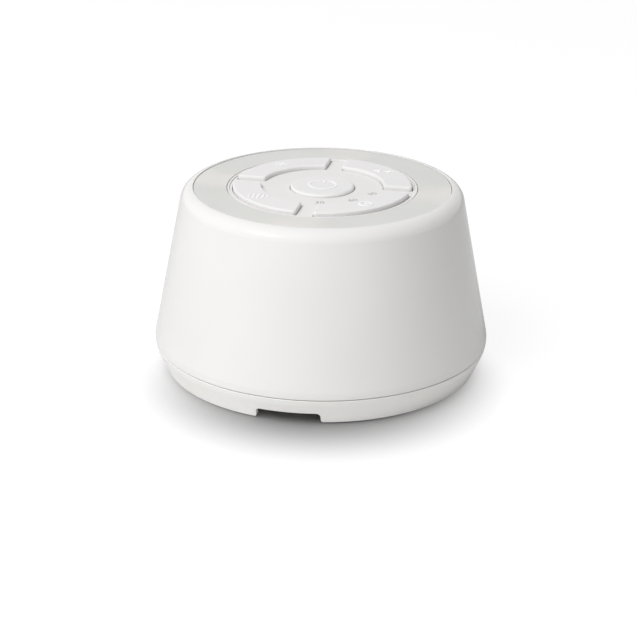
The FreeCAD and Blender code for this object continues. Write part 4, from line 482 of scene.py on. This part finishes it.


# Floor. Pale studio floor, clear from below. To the camera it carries a painted shadow round the foot
# of the object, a little to the front, and painted shade under the skirt; beyond it the floor is plain
# white.

def floor_with_painted_shadow():
    """Adds the floor; a glow seen by the camera alone leaves the painted shadow and the painted shade.
    """
    floor_width = 6.0
    # painted shadow: the centre shift and radii of the dark patch that the glow leaves round the foot
    painted_shadow_shift = (-0.0039, 0.0196, 0.0)
    painted_shadow_core, painted_shadow_edge = 0.024, 0.0655
    skirt_inside, skirt_outside = 0.040, 0.056
    open_glow = 0.85
    bounced = (0.8, 0.8, 0.8, 1)
    seen = (0.2, 0.2, 0.2, 1)

    bpy.ops.mesh.primitive_plane_add(size=floor_width, location=(0, 0, 0))
    floor = bpy.context.object
    floor.name = "floor_with_painted_shadow"
    material, tree, shader = shader_of("floor_with_painted_shadow")
    place = place_of(tree)
    to_camera = wire(tree, "LightPath", {})["Is Camera Ray"]
    tree.links.new(mixed(tree, to_camera, bounced, seen), shader.inputs["Base Color"])
    shader.inputs["Roughness"].default_value = 0.9
    shader.inputs["Specular IOR Level"].default_value = 0.0

    def rising(centre, near, far, top):
        """From 0 within the near radius to top beyond the far one."""
        moved = wire(tree, "VectorMath", {0: place, 1: centre}, operation="ADD")["Vector"]
        away = wire(tree, "VectorMath", {0: moved}, operation="LENGTH")["Value"]
        return wire(tree, "MapRange", {"Value": away, "From Min": near, "From Max": far, "To Min": 0.0,
                                       "To Max": top}, interpolation_type="SMOOTHSTEP")["Result"]

    # painted shade under the skirt, where the glow is left out; painted shadow round a centre shifted
    # to the front
    outside_painted_skirt_shade = rising((0.0, 0.0, 0.0), skirt_inside, skirt_outside, 1.0)
    level = rising(painted_shadow_shift, painted_shadow_core, painted_shadow_edge, open_glow)
    strength = maths(tree, "MULTIPLY", maths(tree, "MULTIPLY", to_camera, outside_painted_skirt_shade), level)
    glow = wire(tree, "Emission", {"Color": (1, 1, 1, 1), "Strength": strength})
    above = wire(tree, "AddShader", {0: shader.outputs["BSDF"], 1: glow["Emission"]})
    below = wire(tree, "BsdfTransparent", {})
    underside = wire(tree, "NewGeometry", {})["Backfacing"]
    both = wire(tree, "MixShader", {0: underside, 1: above["Shader"], 2: below["BSDF"]})
    tree.links.new(both["Shader"], tree.nodes["Material Output"].inputs["Surface"])
    floor.data.materials.append(material)


floor_with_painted_shadow()


# Lamps. One broad soft lamp on the left, a slim strip that shows only as the line on the shoulder,
# and an even pale room, white where it is seen or mirrored.

def lamp(name, place, aim, width, height, power, **seen_by):
    """Soft rectangular lamp; seen_by says which kinds of rays leave it out."""
    data = bpy.data.lights.new(name, "AREA")
    data.shape = "RECTANGLE"
    data.size = width
    data.size_y = height
    data.energy = power
    thing = bpy.data.objects.new(name, data)
    thing.location = place
    thing.rotation_euler = (Vector(aim) - Vector(place)).to_track_quat("-Z", "Y").to_euler()
    bpy.context.scene.collection.objects.link(thing)
    for rays, seen in seen_by.items():
        setattr(thing, "visible_" + rays, seen)


lamp("broad_lamp", place=(-0.452, -0.668, 0.958), aim=(0, 0, 0.03), width=0.8, height=0.8, power=11.8,
     glossy=False)
lamp("shoulder_strip", place=(-0.622, -0.701, 0.808), aim=(0, 0, 0.058), width=0.36, height=0.02,
     power=1.7, diffuse=False)

room_light = 0.45
world = bpy.data.worlds.new("pale_room")
bpy.context.scene.world = world
world.use_nodes = True
room = world.node_tree
rays = wire(room, "LightPath", {})
shown = maths(room, "MAXIMUM", rays["Is Camera Ray"], rays["Is Glossy Ray"])
level = wire(room, "MapRange", {"Value": shown, "To Min": room_light, "To Max": 1.0})["Result"]
room.links.new(level, room.nodes["Background"].inputs["Strength"])
room.nodes["Background"].inputs["Color"].default_value = (1, 1, 1, 1)


# Camera. It looks from the front, a little from the right and from above, at the middle of the seam
# between shell and base cover, with the focal length and the frame of the photograph.

VIEW_AZIMUTH = math.radians(11.2)
VIEW_ELEVATION = math.radians(22.43)
VIEW_DISTANCE = 0.635
VIEW_ROLL = 0.01
SENSOR_WIDTH = 36.0
NEAREST = 0.05
FOCAL_PIXELS = 1897.1
PHOTO_PIXELS = 636
MIDDLE_PIXEL = (320.97, 333.57)

seam = Vector((0, 0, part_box("main_shell")[0].z))
back = Vector((math.sin(VIEW_AZIMUTH) * math.cos(VIEW_ELEVATION),
               -math.cos(VIEW_AZIMUTH) * math.cos(VIEW_ELEVATION), math.sin(VIEW_ELEVATION)))
camera = bpy.data.objects.new("camera", bpy.data.cameras.new("camera"))
bpy.context.scene.collection.objects.link(camera)
bpy.context.scene.camera = camera
camera.data.sensor_width = SENSOR_WIDTH
camera.data.lens = SENSOR_WIDTH * FOCAL_PIXELS / PHOTO_PIXELS
camera.data.clip_start = NEAREST
camera.location = seam + back * VIEW_DISTANCE
level_view = (-back).to_track_quat("-Z", "Y")
camera.rotation_euler = (level_view @ Euler((0, 0, VIEW_ROLL)).to_quaternion()).to_euler()
camera.data.shift_x = (PHOTO_PIXELS / 2 - MIDDLE_PIXEL[0]) / PHOTO_PIXELS
camera.data.shift_y = (MIDDLE_PIXEL[1] - PHOTO_PIXELS / 2) / PHOTO_PIXELS
bpy.context.scene.view_settings.view_transform = "Standard"
